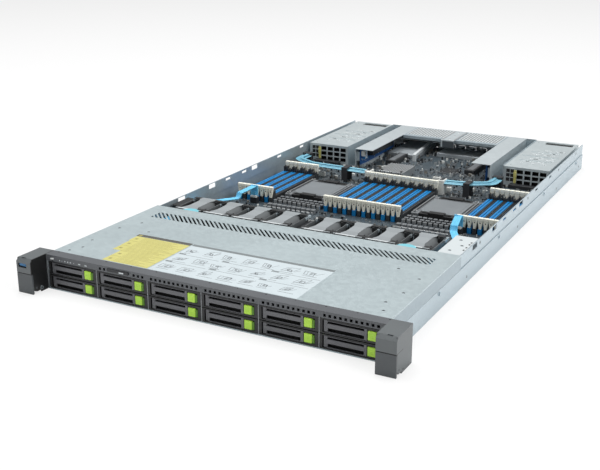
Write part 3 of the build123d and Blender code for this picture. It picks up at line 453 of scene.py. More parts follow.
bezel_grey = moulded("bezel plastic", srgb(96, 99, 103), srgb(78, 81, 85), 0.45)
clad("front_frame", bezel_grey)
button_white = moulded("button plastic", srgb(226, 230, 230), srgb(206, 210, 210), 0.4)
height = button_white.along("Z")
oval = button_white.ease(height, 38.6 * MM, 38.7 * MM)
oval = oval * button_white.ease(height, 40.7 * MM, 40.8 * MM, 1.0, 0.0)
button_white.colour(button_white.mix(oval, srgb(70, 72, 75), button_white.tone()))
clad("power_button", button_white)
tag_black = moulded("tag plastic", srgb(46, 47, 50), srgb(34, 35, 38), 0.5)
clad("service_tag", tag_black)

PANEL_DOTS = ((-198.0, 0.7), (-194.4, 0.4), (-190.0, 0.8), (-185.6, 0.8), (-181.8, 0.8), (-176.5, 0.45))
marks = bmesh.new()
for x, size in PANEL_DOTS:
    rod(marks, (x, 0.05, 38.7), (x, -0.12, 38.7), size, 10, 0)
for x in (-168.5, -159.0):
    slab(marks, around(x, 1.6), (-0.12, 0.05), (38.1, 39.4), 0.1, 0)
lamp_pale = moulded("lamp window", srgb(214, 220, 222), srgb(190, 198, 202), 0.35)
piece("panel_marks", marks, [lamp_pale])

TAG_X = -111.9
tag_print = bmesh.new()
slab(tag_print, (TAG_X + 2.0, TAG_X + 8.5), (-1.68, -1.58), (38.6, 40.2), 0.05)
piece("tag_mark", tag_print, [lamp_pale], body="service_tag")

# Rack ears: hollow dark grey mouldings over the rack flanges. The left one has a port with a blue
# tongue, and its inner side is a smooth black plate held by a screw. A short steel strip of the
# tray stands between each ear and the drive bays.
EAR_OUT = 241.3
PORT_X = -(EAR_OUT - 8.75)
SEAM_SHADE = srgb(22, 23, 24)


def within(finish, axis, low, high):
    """1 inside a span of one coordinate given in millimetres, with depths from the drive faces."""
    low, high = (depth(edge) if axis == "Y" else edge * MM for edge in (low, high))
    spot = finish.along(axis)
    return (spot > low) * (spot < high)


ear_grey = moulded("ear plastic", srgb(102, 107, 109), srgb(84, 89, 91), 0.42)
plate = within(ear_grey, "X", -HALF_W - SHEET, 0.0)
tongue = within(ear_grey, "X", PORT_X - 5.25, PORT_X + 5.15) * within(ear_grey, "Y", -24.7, -12.6)
tongue = tongue * within(ear_grey, "Z", 32.6, 37.4)
# Painted shade: the hood's underside, across the narrow gap above the flap, is painted near-black.
seam_shade = within(ear_grey, "Z", 25.2, 25.9) * (ear_grey.along("Y") < depth(-9))
ear_tone = ear_grey.mix(plate, ear_grey.tone(), srgb(20, 21, 22))
ear_tone = ear_grey.mix(seam_shade, ear_tone, SEAM_SHADE)
ear_grey.colour(ear_grey.mix(tongue, ear_tone, srgb(52, 136, 196)))
flap_grey = moulded("flap plastic", srgb(80, 85, 88), srgb(66, 70, 73), 0.42)
# Painted shade: the flap's top face, in the gap under the hood, is painted near-black.
flap_grey.colour(flap_grey.mix(flap_grey.along("Z") > 24.8 * MM, flap_grey.tone(), SEAM_SHADE))
clad("rack_ears", ear_grey)
for side in ("left", "right"):
    clad(f"ear_flap_{side}", flap_grey)

ear_fixings = bmesh.new()
rod(ear_fixings, (-HALF_W + 0.02, -11, 5), (-HALF_W + 0.7, -11, 5), 2.6, 18, 0, 2.2)
rod(ear_fixings, (-HALF_W + 0.66, -11, 5), (-HALF_W + 0.74, -11, 5), 1.1, 6, 1)
for sign in (-1, 1):
    rod(ear_fixings, (sign * (EAR_OUT - 0.1), -8, 3.5), (sign * (EAR_OUT + 0.06), -8, 3.5), 0.9, 12, 1)
piece("ear_fixings", ear_fixings, [screw_steel, recess_shade])

bay_edge = bmesh.new()
for sign in (-1, 1):
    slab(bay_edge, beyond(0, sign, HALF_W - 2.6, HALF_W - 0.3), (-0.5, -0.02), (SHEET, 36.0), 0.15)
shaded_steel = galvanised("strip steel", srgb(138, 144, 148), srgb(114, 120, 124))
piece("bay_side_strips", bay_edge, [shaded_steel])

tongue_face = bmesh.new()
slab(tongue_face, around(PORT_X, 4.9), (-24.9, -24.3), (33.9, 37.2), 0.2)
tongue_blue = moulded("port tongue", srgb(46, 116, 166), srgb(32, 96, 142), 0.4)
piece("port_tongue_face", tongue_face, [tongue_blue])

# Drive carriers: black mouldings that each hold a small flat drive. The face has a bowed,
# slotted release lever, and a green button that frees it.
CARRIERS = [f"{number:02d}" for number in range(1, 13)]
COLUMNS = 6
BAY_PITCH = 2 * WALL_IN / COLUMNS
ROW_PITCH = 17.4
CARRIER_W, CARRIER_H = 70.8, 16.4
LEVER_X, LEVER_W = 5.6, 47.6
# of each bar its lower and upper edge, sag, tilt and bulge
LEVER_BARS = ((14.0, 14.8, 0.1, 0.5, 0.4), (6.6, 11.6, 2.2, 0.4, 1.2), (1.7, 2.4, 0.1, 0.5, 0.4))
LATCH_X = CARRIER_W - 10.5
BAY_SIDE, BAY_FLOOR = 0.7, 1.5  # a bay's corner to its carrier, and the lower row's underside
DRIVE_GREY = srgb(150, 154, 158)
carrier_black = moulded("carrier plastic", srgb(38, 39, 41), srgb(26, 27, 29), 0.5)
# Painted shade: every face more than a millimetre behind the carrier's front is painted near-black, for the
# shade in its recesses; the drive behind keeps its own grey.
recess = carrier_black.along("Y") > depth(1.0)
drive = carrier_black.along("Y") > depth(8.45)
carrier_tone = carrier_black.mix(recess, carrier_black.tone(), srgb(13, 14, 15))
carrier_black.colour(carrier_black.mix(drive, carrier_tone, DRIVE_GREY))
carrier_black.metal(drive * 0.7)
lever_grey = moulded("lever plastic", srgb(104, 105, 109), srgb(82, 83, 87), 0.36)
latch_green = moulded("green plastic", srgb(190, 232, 84), srgb(166, 216, 58), 0.42)
latch_shade = moulded("shaded green", srgb(92, 138, 30), srgb(70, 112, 20), 0.5)


def louvre(bm, x, z, sag, tilt, bulge):
    """A bar that sags and stands out in the middle, its top edge leaning back."""
    wide, high, level = x[1] - x[0], z[1] - z[0], (z[0] + z[1]) / 2
    made = bmesh.ops.create_cube(bm, size=1.0)["verts"]
    bmesh.ops.scale(bm, vec=(wide, 2.4, high), verts=made)
    bmesh.ops.translate(bm, vec=((x[0] + x[1]) / 2, 1.6, level), verts=made)

    def lengthwise(lines, least):
        return [line for line in lines if abs(line.verts[0].co.x - line.verts[1].co.x) > least]

    longs = lengthwise({line for vert in made for line in vert.link_edges}, 1)
    bmesh.ops.bevel(bm, geom=longs, offset=0.35, affect="EDGES", segments=2, profile=0.5, material=-1)
    bmesh.ops.subdivide_edges(bm, edges=lengthwise(bm.edges, 0.9 * wide), cuts=9, use_grid_fill=True)
    for vert in bm.verts:
        if abs(vert.co.z - level) <= high / 2 + 0.01 and not vert.tag:
            arch = math.sin(math.pi * (vert.co.x - x[0]) / wide)
            vert.co.y += tilt * (vert.co.z - level) - bulge * arch
            vert.co.z -= sag * arch
            vert.tag = True


for index, tag in enumerate(CARRIERS):
    clad(f"drive_carrier_{tag}", carrier_black)
    left = (index % COLUMNS - COLUMNS / 2) * BAY_PITCH + BAY_SIDE
    floor_z = BAY_FLOOR + index // COLUMNS * ROW_PITCH
    x = left + LEVER_X
    end = x + LEVER_W
    bars = bmesh.new()
    for low, high, sag, tilt, bulge in LEVER_BARS:
        louvre(bars, (x + 2.4, end - 2.6), (floor_z + low, floor_z + high), sag, tilt, bulge)
    tall = (floor_z + 1.7, floor_z + 14.7)
    slab(bars, (x - 1.5, x + 3.2), (1.6, 3.8), tall, 0.3)
    slab(bars, (end - 3.4, end), (0.5, 3.2), tall, 0.3)
    rod(bars, (x, 3.4, floor_z + 0.6), (x, 3.4, floor_z + CARRIER_H - 0.6), 1.6, 14)
    piece(f"lever_bars_{tag}", bars, [lever_grey], body=f"lever_{tag}",
          stands_for=[f"drive_lever_{tag}"])
    x = left + LATCH_X
    z = floor_z + CARRIER_H / 2
    grip = bmesh.new()
    slab(grip, (x - 6.0, x + 3.4), (-0.8, 2.9), around(z, 5.1), 0.9, 0, 3)
    slab(grip, (x + 2.4, x + 6.0), (0.2, 2.9), (z - 5.1, z + 4.2), 0.6, 1, 2)
    for rib in (-2.6, -0.6, 1.4):
        slab(grip, (x - 3.8, x + 2.2), (-0.95, -0.7), (z + rib, z + rib + 0.7), 0.1, 0)
    piece(f"latch_button_{tag}", grip, [latch_green, latch_shade], body=f"latch_{tag}",
          stands_for=[f"drive_latch_{tag}"])

# Fans: eight square frames of dark moulding whose duct narrows between the two flanges. The flat
# top of the duct is painted a light grey, lighter than its slopes, as painted highlight; the slopes
# are painted darker towards their foot as painted shade, and dark pieces in the corners are painted
# shade in the hollows. A pale bar and strut cross the inlet. They stand between the dividers of a
# sheet tray, whose bracket is screwed down on the right.
FAN = 40.0
FAN_GAP = 4.9
FAN_PITCH = FAN + FAN_GAP
FAN_L = 56.0
FAN_Y = COVER_BACK + 10
FAN_TOP = 41.5
FAN_SIDE = 18.15  # left wall to the first divider
FAN_SPLIT = 16.4  # room for the cable trunk between the groups
FAN_FIRST = (FAN_SIDE - WALL_IN + FAN_PITCH / 2, FAN_SIDE - WALL_IN + 4.5 * FAN_PITCH + FAN_SPLIT)
FAN_X = [first + place * FAN_PITCH for first in FAN_FIRST for place in range(4)]

fan_dark = moulded("fan frame", srgb(112, 116, 118), srgb(92, 96, 98), 0.5)
# Painted light: the moulding is painted darker towards its foot as painted shade, and its flat top lighter as
# painted highlight.
lit = fan_dark.ease(fan_dark.along("Z"), 27 * MM, 39 * MM)
fan_tone = fan_dark.mix(lit, srgb(20, 22, 24), fan_dark.tone())
flat_top_highlight = fan_dark.along("Z") > (FAN_TOP - 0.3) * MM
fan_tone = fan_dark.mix(flat_top_highlight, fan_tone, srgb(150, 156, 159))
sheet_side = (fan_dark.along("X") > (WALL_IN - 28.9) * MM) + (fan_dark.along("Y") < depth(FAN_Y - 0.4))
fan_dark.colour(fan_dark.mix(fan_dark.ease(sheet_side, 0.0, 1.0), fan_tone, srgb(200, 207, 209)))
clad("fan_housings", fan_dark)
rotor_dark = moulded("rotor plastic", srgb(52, 54, 57), srgb(30, 32, 34), 0.42)
for number in range(1, 9):
    clad(f"fan_rotor_{number}", rotor_dark)

fan_pale = moulded("fan trim", srgb(218, 222, 224), srgb(196, 202, 204), 0.4)
trim = bmesh.new()


def flare(bm, x, y, halves, top):
    """A thin web of the duct's top that narrows from one half width to another."""
    made = bmesh.ops.create_cube(bm, size=1.0)["verts"]
    for vert in made:
        back = vert.co.y > 0
        vert.co = (x + (2 * halves[back]) * vert.co.x, y[back], top - (0.7 if vert.co.z < 0 else 0.0))
    paint(made, 2)


WEB_STEP = 3.4
WEB_HALVES = ((14.0, 12.0), (12.0, 10.4), (10.4, 9.2), (9.2, 8.5))  # narrowing inwards from a flange
for x in FAN_X:
    slab(trim, (x - 16.5, x + 10.5), (FAN_Y - 0.5, FAN_Y + 2.6), (FAN_TOP - 0.6, FAN_TOP + 0.15), 0.12)
    slab(trim, around(x, 1.5), (FAN_Y - 0.6, FAN_Y - 0.02), (2.0, FAN_TOP - 0.5), 0.1)
    for y, out in ((FAN_Y + 3.2, 1), (FAN_Y + FAN_L - 3.2, -1)):
        for step, (near, far) in enumerate(WEB_HALVES):
            span = beyond(y, out, step * WEB_STEP, (step + 1) * WEB_STEP)
            flare(trim, x, span, (near, far) if out > 0 else (far, near), FAN_TOP + 0.06)
    for side in (-1, 1):
        edge = beyond(x, side, 12.0, 19.6)
        slab(trim, edge, (FAN_Y + 3.2, FAN_Y + 4.3), (FAN_TOP - 3.6, FAN_TOP - 2.8), 0.1, 1)
        edge = beyond(x, side, 13.4, 14.6)
        slab(trim, edge, (FAN_Y + 12, FAN_Y + 24), (33.6, 37.4), 0.2, 1)
        for y in (FAN_Y + 8, FAN_Y + FAN_L - 9):
            rod(trim, (x + side * 15.6, y, 34.0), (x + side * 15.6, y, 40.6), 1.5, 10, 1)
        corner = beyond(x, side, 11.5, FAN_PITCH / 2)
        for y in (FAN_Y + 2.4, FAN_Y + FAN_L - 6.6):
            slab(trim, corner, (y, y + 6.4), (FAN_TOP - 0.5, FAN_TOP + 0.1), 0.1, 1)
# The webs on the duct's top take the flat top's lighter grey, a painted highlight.
fan_grey = moulded("fan top", srgb(152, 158, 161), srgb(136, 142, 145), 0.45)
slab(trim, (3 - WALL_IN, FAN_X[0] - FAN / 2 - 1), (FAN_Y + 16, FAN_Y + FAN_L), (14, 38.5), 0.8, 1)
slab(trim, (4 - WALL_IN, FAN_X[0] - FAN / 2 - 4), (FAN_Y + 4, FAN_Y + 16), (14, 30), 0.8, 1)
# Painted shade: the dark pads, bars and pins in the fan corners stand for the shade in the hollows between
# flange and duct and under the flange's edge, and the dark blocks beside the first fan fill the shaded gap by
# the wall.
fan_corner_shade = moulded("fan corner shade", srgb(34, 36, 38), srgb(22, 24, 26), 0.5)
piece("fan_trim", trim, [fan_pale, fan_corner_shade, fan_grey])

tray_ends = bmesh.new()
for first in FAN_FIRST:
    for place in range(5):
        x = first + (place - 0.5) * FAN_PITCH
        slab(tray_ends, around(x, 1.6), (FAN_Y + 46, FAN_Y + 62), (35.0, 38.8), 0.3)
        slab(tray_ends, around(x, 2.3), (FAN_Y - 8, FAN_Y - 3), (34.0, 37.6), 0.3)
piece("fan_tray_ends", tray_ends, [tray_steel])

bracket_marks = bmesh.new()
for x, y in ((199.0, 240.0), (207.0, 262.0), (199.0, 282.0)):
    screw(bracket_marks, x, y, LID_Z, 2.2, 0.3)
for y in (246.0, 256.0, 268.0, 276.0):
    slab(bracket_marks, (213.0, 215.0), (y, y + 3.5), (LID_Z - 0.3, LID_Z + 0.1), 0, 1)
piece("bracket_screws", bracket_marks, [screw_steel, recess_shade])

# Main board: laminate with a dark solder mask over fine copper tracks, held by screws on posts of
# the floor and crowded with small parts before and behind the processors.
DECK = 9.0  # upper face of the board
BOARD_FRONT = FAN_Y + FAN_L + 11
BOARD_UNDER = 7.0
PSU_L, PSU_W, PSU_GAP = 202.0, 73.5, 5.7
PSU_FRONT = BODY_D - PSU_L
PSU_IN = WALL_IN - PSU_W - PSU_GAP
BOARD_STEP = PSU_FRONT - 1
BOARD_HALF = WALL_IN - 5.6
TAIL_HALF = PSU_IN - 9.4
CPU_X = (-97.0, 109.5)
CPU_Y = (BOARD_FRONT + PSU_FRONT) / 2 - 3
MEM_PITCH, MEM_L = 7.6, 147.0
MEM_X = (47.1 - WALL_IN, 7.0, WALL_IN - 36.1)
MEM_COUNT = (8, 16, 8)
MEM_Y = (CPU_Y - 72, CPU_Y - 72 + MEM_L)
MEM_TOP = DECK + 25.0
FRONT_ROOM = MEM_Y[0] - BOARD_FRONT
REAR_ROOM = PSU_FRONT - MEM_Y[1]
COIL_Y = MEM_Y[0] - 0.24 * FRONT_ROOM
CAP_Y = MEM_Y[0] - 0.37 * FRONT_ROOM
CAN_Y = (CPU_Y - 78, CPU_Y + 70)  # upright cans before and behind the processors

mask_dark = Finish("solder mask", roughness=0.42)
track = mask_dark.node("ShaderNodeTexBrick", {"offset": 0.37, "squash": 0.6, "squash_frequency": 3}, {
    "Vector": mask_dark.place(), "Scale": 260.0, "Mortar Size": 0.05, "Brick Width": 1.7,
    "Row Height": 0.4}, "Fac")
pads = mask_dark.node("ShaderNodeTexVoronoi", {"feature": "F1"},
                      {"Vector": mask_dark.place(), "Scale": 420.0})
pad = mask_dark.ease(pads, 0.16, 0.2, 1.0, 0.0)
tint = mask_dark.mix(mask_dark.grain(0.03), srgb(50, 60, 68), srgb(70, 80, 86))
tint = mask_dark.mix(track * 0.4, tint, srgb(96, 110, 118))
mask_dark.colour(mask_dark.mix(pad * (mask_dark.grain(0.02) > 0.5), tint, srgb(176, 184, 186)))
mask_dark.bump(track, 0.00005, 0.4)
part_black = moulded("chip package", srgb(52, 54, 57), srgb(32, 34, 36), 0.45)
part_grey = moulded("socket frame", srgb(136, 140, 143), srgb(92, 96, 100), 0.42)
bright = drifting("bright metal", srgb(196, 200, 202), srgb(228, 231, 232), 0.003, metallic=0.85,
                  roughness=0.3)
part_white = moulded("connector plastic", srgb(232, 234, 230), srgb(210, 213, 210), 0.45)
part_brown = moulded("ceramic", srgb(150, 146, 138), srgb(112, 110, 106), 0.5)
BOARD_PARTS = [mask_dark, part_black, part_grey, bright, part_white, part_brown]
CHIP, GREY, METAL, PALE, CERAMIC = range(1, 6)  # their numbers, after the mask's 0


def on_board(high):
    """The span from the board's face up to a height above it."""
    return DECK, DECK + high


board = bmesh.new()
slab(board, (-BOARD_HALF, BOARD_HALF), (BOARD_FRONT, BOARD_STEP), (BOARD_UNDER, DECK))
slab(board, (-TAIL_HALF, TAIL_HALF), (BOARD_STEP, BODY_D - 4), (BOARD_UNDER, DECK))
for y in (BOARD_FRONT + 18, CPU_Y + 8, PSU_FRONT - 23):
    for share in (-1, -0.3, 0.3, 1):
        x = share * (BOARD_HALF - 11)
        rod(board, (x, y, SHEET), (x, y, BOARD_UNDER), 3.2, 6, METAL)
        rod(board, (x, y, DECK), (x, y, DECK + 1.6), 3.0, 12, METAL, 2.2)


def parts_field(bm, x, y, count, seed, tall=4.0):
    """Small board parts strewn over a field, aligned with the board."""
    pick = random.Random(seed)
    finishes = (CHIP, CHIP, GREY, GREY, METAL, METAL, PALE, CERAMIC)
    for _ in range(count):
        wide = pick.choice((1.2, 1.6, 2.4, 3.2, 5.0))
        deep = pick.choice((0.8, 1.4, 2.2, 3.6))
        px = pick.uniform(x[0], x[1] - wide)
        py = pick.uniform(y[0], y[1] - deep)
        high = pick.uniform(0.5, tall)
        slab(bm, (px, px + wide), (py, py + deep), on_board(high), material=pick.choice(finishes))


parts_field(board, (-BOARD_HALF + 4, BOARD_HALF - 4), (BOARD_FRONT + 2, MEM_Y[0] - 8), 420, 3)
parts_field(board, (-BOARD_HALF + 4, BOARD_HALF - 4), (MEM_Y[1] + 8, BOARD_STEP - 4), 620, 5, 5.0)
parts_field(board, (-TAIL_HALF + 4, TAIL_HALF - 4), (BOARD_STEP, BODY_D - 30), 520, 7, 6.0)
piece("board_base", board, BOARD_PARTS, stands_for=["mainboard"])

# Processor sockets: a steel-edged black frame around a grey lid, with a black lever block
# at each end and spring screws at the corners.
lid_grey = Finish("socket lid", metallic=0.35, roughness=0.42)
brush = lid_grey.grain(0.002, 2.0, (0.1, 1.0, 1.0))
lid_grey.colour(lid_grey.mix(lid_grey.grain(0.04) * 0.6 + brush * 0.4, srgb(122, 127, 131),
                             srgb(148, 154, 158)))
lid_grey.bump(brush, 0.00004, 0.4)
LID, CLIP = 6, 7
sockets = bmesh.new()
top = DECK + 9.0
for x in CPU_X:
    for side in (-1, 1):
        slab(sockets, beyond(x, side, 31, 38), around(CPU_Y, 46), (DECK, top), 0.6, GREY)
        slab(sockets, around(x, 31.2), beyond(CPU_Y, side, 34, 46), (DECK, top), 0.6, GREY)
        slab(sockets, beyond(x, side, 32.4, 36.8), around(CPU_Y, 39), (top, top + 0.6), 0.2, CHIP)
        slab(sockets, beyond(x, side, 34.4, 35.6), around(CPU_Y, 43), (top + 0.5, top + 1.9), 0.3, METAL)
        slab(sockets, around(x, 29), beyond(CPU_Y, side, 34.8, 36.6), (top, top + 0.5), 0.1, GREY)
        for end in (-1, 1):
            spot = (x + side * 32.5, CPU_Y + end * 41.5)
            rod(sockets, (*spot, top - 0.5), (*spot, top + 2.2), 3.0, 16, METAL)
            rod(sockets, (*spot, top + 2.0), (*spot, top + 2.5), 1.4, 6, CHIP)
        middle = CPU_Y + side * 41.5
        slab(sockets, around(x, 26), beyond(CPU_Y, side, 35, 46.3), (DECK, top + 0.5), 0.5, CLIP)
        slab(sockets, around(x, 12), around(middle, 5), (top, top + 2.9), 0.7, CLIP, 2)
        slab(sockets, around(x, 22), around(middle, 1.4), (top, top + 1.8), 0.4, CLIP)
    slab(sockets, around(x, 31), around(CPU_Y, 34), (top - 3.4, top - 2.8), 0, CHIP)
    slab(sockets, around(x, 30), around(CPU_Y, 33), (top - 3.0, top + 0.6), 0.6, LID, 2)
    slab(sockets, around(x, 25.5), around(CPU_Y, 28.5), (top + 0.5, top + 0.9), 0.25, LID)
    slab(sockets, (x - 29, x - 26.8), (CPU_Y - 32, CPU_Y - 29.8), (top + 0.56, top + 0.66), 0, CHIP)
clip_black = moulded("clip plastic", srgb(24, 25, 27), srgb(14, 15, 17), 0.55)
piece("processor_sockets", sockets, BOARD_PARTS + [lid_grey, clip_black])

# Supply rows: grey moulded coils, upright metal cans and small ceramics, soldered to the board in
# ranks before each processor and a thinner one behind it.
RANK_PITCH = 8.0


def can(bm, x, y, high, radius, lid_radius, lid):
    """An upright can with a lid of a finish of its own."""
    rod(bm, (x, y, DECK), (x, y, DECK + high), radius, 14, METAL)
    rod(bm, (x, y, DECK + high - 0.1), (x, y, DECK + high + 0.2), lid_radius, 14, lid)


ranks = bmesh.new()
for x in CPU_X:
    for place in range(10):
        x0 = x + (place - 4.9) * RANK_PITCH
        slab(ranks, (x0, x0 + 6.4), (COIL_Y, COIL_Y + 6.4), on_board(6.5), 0.5, GREY, 2)
        slab(ranks, (x0 + 1.2, x0 + 5.2), (COIL_Y - 1.2, COIL_Y), on_board(3.0), 0.2, METAL)
        can(ranks, x0 + 2.6, CAP_Y + 2.4, 6.2, 2.5, 2.0, METAL)
        slab(ranks, (x0 + 0.6, x0 + 5.4), (CAP_Y - 7.6, CAP_Y - 3.2), on_board(1.4), 0.1, CHIP)
        slab(ranks, (x0 + 0.4, x0 + 6.0), (COIL_Y + 8.6, COIL_Y + 12.4), on_board(2.6), 0.2, CHIP)
        can(ranks, x0 + 3.2, CAN_Y[0], 7.6, 2.7, 2.1, GREY)
        for y in (CPU_Y - 70, CPU_Y - 59):
            slab(ranks, (x0 + 1.6, x0 + 4.8), (y, y + 8.0), on_board(5.6), 0.3, CHIP)
            slab(ranks, (x0 + 0.2, x0 + 6.4), (y + 0.6, y + 4.6), (DECK + 5.4, DECK + 7.4), 0.5, GREY)
        if place % 2:
            slab(ranks, (x0, x0 + 4.6), (CPU_Y + 58, CPU_Y + 63), on_board(4.2), 0.4, GREY)
            can(ranks, x0 + 2.4, CAN_Y[1], 6.0, 2.6, 2.1, CHIP)
piece("supply_ranks", ranks, BOARD_PARTS)

# Board fittings: the controller's finned sink, chips, connectors with white and black housings, a
# bright bar and two plain covers towards the rear, and the steel jacks behind the rear panel.
FIN_PITCH = 4.0
# of each connector its corner and its finish
CONNECTORS = ((-62, 330, PALE), (-44, 334, PALE), (-10, 326, CHIP), (24, 331, PALE), (52, 328, PALE),
              (-30, 352, METAL), (-150, 580, PALE), (-20, 576, PALE), (66, 590, PALE), (100, 600, PALE),
              (30, 640, PALE), (118, 640, CHIP))
JACKS_X = (-26.0, -6.0, 14.0, 34.0)
BAR, PLATE = 6, 7
fittings = bmesh.new()
sink_front = PSU_FRONT - REAR_ROOM / 2
slab(fittings, (-56, -14), (sink_front, PSU_FRONT), on_board(4), 0.4, METAL)
for fin in range(11):
    x0 = -55.6 + fin * FIN_PITCH
    slab(fittings, (x0, x0 + 2.5), (sink_front, PSU_FRONT), (DECK + 4, DECK + 14), 0.25, METAL)
for x0 in (-53, -19):
    rod(fittings, (x0 + 1.2, sink_front + 6, DECK + 4), (x0 + 1.2, sink_front + 6, DECK + 15), 2.3, 12, CHIP)
bar = bmesh.ops.create_cube(fittings, size=1.0)["verts"]
for vert in bar:
    back = vert.co.y > 0
    vert.co = ((-45, -55)[back] + 5.6 * vert.co.x, PSU_FRONT + (80, 192)[back],
               22.5 if vert.co.z > 0 else 17.5)
paint(bar, BAR)
slab(fittings, (-48, -42), (PSU_FRONT + 76, PSU_FRONT + 81), (DECK, 22.0), 0.4, BAR)
slab(fittings, (-100, -46), (BODY_D - 112, BODY_D - 8), (DECK + 1, DECK + 8), 0.6, PLATE)
slab(fittings, (-96, -50), (BODY_D - 108, BODY_D - 40), (DECK + 7.9, DECK + 8.4), 0.3, PLATE)
slab(fittings, (-22, 58), (BODY_D - 74, BODY_D - 24), on_board(7.4), 0.6, PLATE)
slab(fittings, (20, 50), (PSU_FRONT + 22, PSU_FRONT + 52), on_board(2.2), 0.2, GREY)
slab(fittings, (22, 48), (PSU_FRONT + 24, PSU_FRONT + 50), (DECK + 2.2, DECK + 4.0), 0.5, CHIP)
for sign in (-1, 1):
    ends = beyond(0, sign, 62, 80)
    slab(fittings, ends, (PSU_FRONT + 32, PSU_FRONT + 92), on_board(9), 0.6, CHIP)
    patch = (PSU_FRONT + 36, PSU_FRONT + 88)
    slab(fittings, beyond(0, sign, 66, 76), patch, (DECK + 8.9, DECK + 9.2), 0, GREY)
    link = beyond(0, sign, PSU_IN + 13, PSU_IN + 60.5)
    slab(fittings, link, (PSU_FRONT - 13, PSU_FRONT - 9.5), on_board(6), 0.3, CHIP)
    for base in on_board(4.2):
        slab(fittings, link, (PSU_FRONT - 9.5, PSU_FRONT - 1.2), (base, base + 1.6), 0.2, CHIP)
for place, x0 in enumerate((-205, -75, 75, 175)):
    housing = PALE if place % 2 else CHIP
    slab(fittings, (x0, x0 + 26), (BOARD_FRONT + 4, BOARD_FRONT + 16), on_board(8), 0.5, housing)
    for pin in range(6):
        px = x0 + 3 + pin * 3.8
        row = (BOARD_FRONT + 6, BOARD_FRONT + 14)
        slab(fittings, (px, px + 2.2), row, (DECK + 7.4, DECK + 11), 0.3, CHIP)
for x0, y0, finish in CONNECTORS:
    slab(fittings, (x0, x0 + 11), (y0, y0 + 7), on_board(7), 0.6, finish)
    slab(fittings, (x0 + 1.6, x0 + 9.4), (y0 + 1.6, y0 + 5.4), (DECK + 6.9, DECK + 7.1), 0, CHIP)
for x0 in JACKS_X:
    left, right = x0 + 0.4, x0 + 13.6
    for wall in ((left, left + 1.2), (right - 1.2, right)):
        slab(fittings, wall, (BODY_D - 22, BODY_D - 0.2), (DECK, 16.4), 0, METAL)
    slab(fittings, (left, right), (BODY_D - 22, BODY_D - 0.2), (15.2, 16.4), 0.1, METAL)
    slab(fittings, (left, right), (BODY_D - 22, BODY_D - 14), (DECK, 15.3), 0, CHIP)
    slab(fittings, (left + 1.4, right - 1.4), (BODY_D - 14, BODY_D - 4), on_board(1.4), 0, CHIP)
bar_steel = galvanised("bar steel", srgb(238, 243, 244), srgb(222, 228, 230), 0.5)
plate_steel = galvanised("card cover", srgb(186, 193, 197), srgb(166, 173, 177), 0.5)
piece("board_fittings", fittings, BOARD_PARTS + [bar_steel, plate_steel])

# Memory sockets: blue and black ones in turn, each a long slotted bar with a raised guide
# at both ends and a cream wedge-shaped latch beyond it.
socket_blue = moulded("blue socket", srgb(12, 136, 198), srgb(6, 110, 178), 0.42)
socket_black = moulded("black socket", srgb(60, 63, 66), srgb(38, 41, 44), 0.42)
latch_cream = moulded("cream latch", srgb(252, 251, 238), srgb(238, 237, 222), 0.42)
contact_gold = Finish("contact row", metallic=0.5, roughness=0.45)
rung = contact_gold.node("ShaderNodeTexWave", {"wave_type": "BANDS", "bands_direction": "Y"},
                         {"Vector": contact_gold.place(), "Scale": 380.0}, "Fac")
contact_gold.colour(contact_gold.mix(rung, srgb(24, 26, 28), srgb(92, 88, 70)))
banks = bmesh.new()
latches = bmesh.new()
for middle, count in zip(MEM_X, MEM_COUNT):
    for place in range(count):
        x = middle + (place - (count - 1) / 2) * MEM_PITCH
        tone = place % 2
        half = 2.6 if tone else 4.0
        slot = (MEM_Y[0] + 3, MEM_Y[1] - 3)
        slab(banks, around(x, half), MEM_Y, on_board(5.2), 0, tone)
        for side in (-1, 1):
            slab(banks, beyond(x, side, 0.6, half), slot, (DECK + 5.2, DECK + 9.5), 0.35, tone)
        slab(banks, around(x, 0.7), slot, (DECK + 5.2, DECK + 6.0), 0, 2)
        slab(banks, around(x, 0.7), (MEM_Y[0] + 76, MEM_Y[0] + 79), (DECK + 5.2, DECK + 9.2), 0, tone)
        for start, guide in ((MEM_Y[0], tone), (MEM_Y[1] - 7, 1)):
            for side in (-1, 1):
                tower = MEM_TOP - (11 if tone and start > MEM_Y[0] else 7)
                slab(banks, beyond(x, side, 1.2, 3.2), (start, start + 7), (DECK, tower), 0.4, guide)
            slab(banks, around(x, 1.3), (start + 1.5, start + 5.5), (DECK, MEM_TOP - 13), 0, guide)
        for start, pin in ((MEM_Y[0] - 5, (0.6, 0.45)), (MEM_Y[1], (4.4, 4.55))):
            slab(latches, around(x, 3.6), (start, start + 5), (MEM_TOP - 4.5, MEM_TOP), 0.5)
            neck = slab(latches, around(x, 3.5), (start + 0.5, start + 4.5), (DECK + 8.0, MEM_TOP - 4.3), 0)
            low = {vert for face in neck for vert in face.verts if vert.co.z < DECK + 9}
            bmesh.ops.scale(latches, vec=(0.4, 1.0, 1.0), verts=list(low),
                            space=Matrix.Translation((-x, 0, 0)))
            slab(banks, around(x, 2.9), (start + 0.3, start + 4.7), on_board(9.0), 0.4, tone)
            ends = [(x, start + place, MEM_TOP - 7.5) for place in pin]
            rod(latches, *ends, 0.9, 8, 1)
piece("memory_sockets_bars", banks, [socket_blue, socket_black, contact_gold],
      stands_for=["memory_sockets"])
piece("memory_latches", latches, [latch_cream, recess_shade])

# Internal cables: flat ribbons of round conductors. The front pair runs from upright pull
# tabs to the drive backplane, the rear pair lies in black clips, and a sleeved bundle runs
# between the two groups of fans.
cable_blue = moulded("ribbon jacket", srgb(146, 200, 216), srgb(92, 162, 188), 0.4)
cable_tab = moulded("pull tab", srgb(118, 204, 242), srgb(92, 186, 230), 0.45)
cable_shade = moulded("cable sleeve", srgb(48, 50, 54), srgb(26, 28, 31), 0.6)


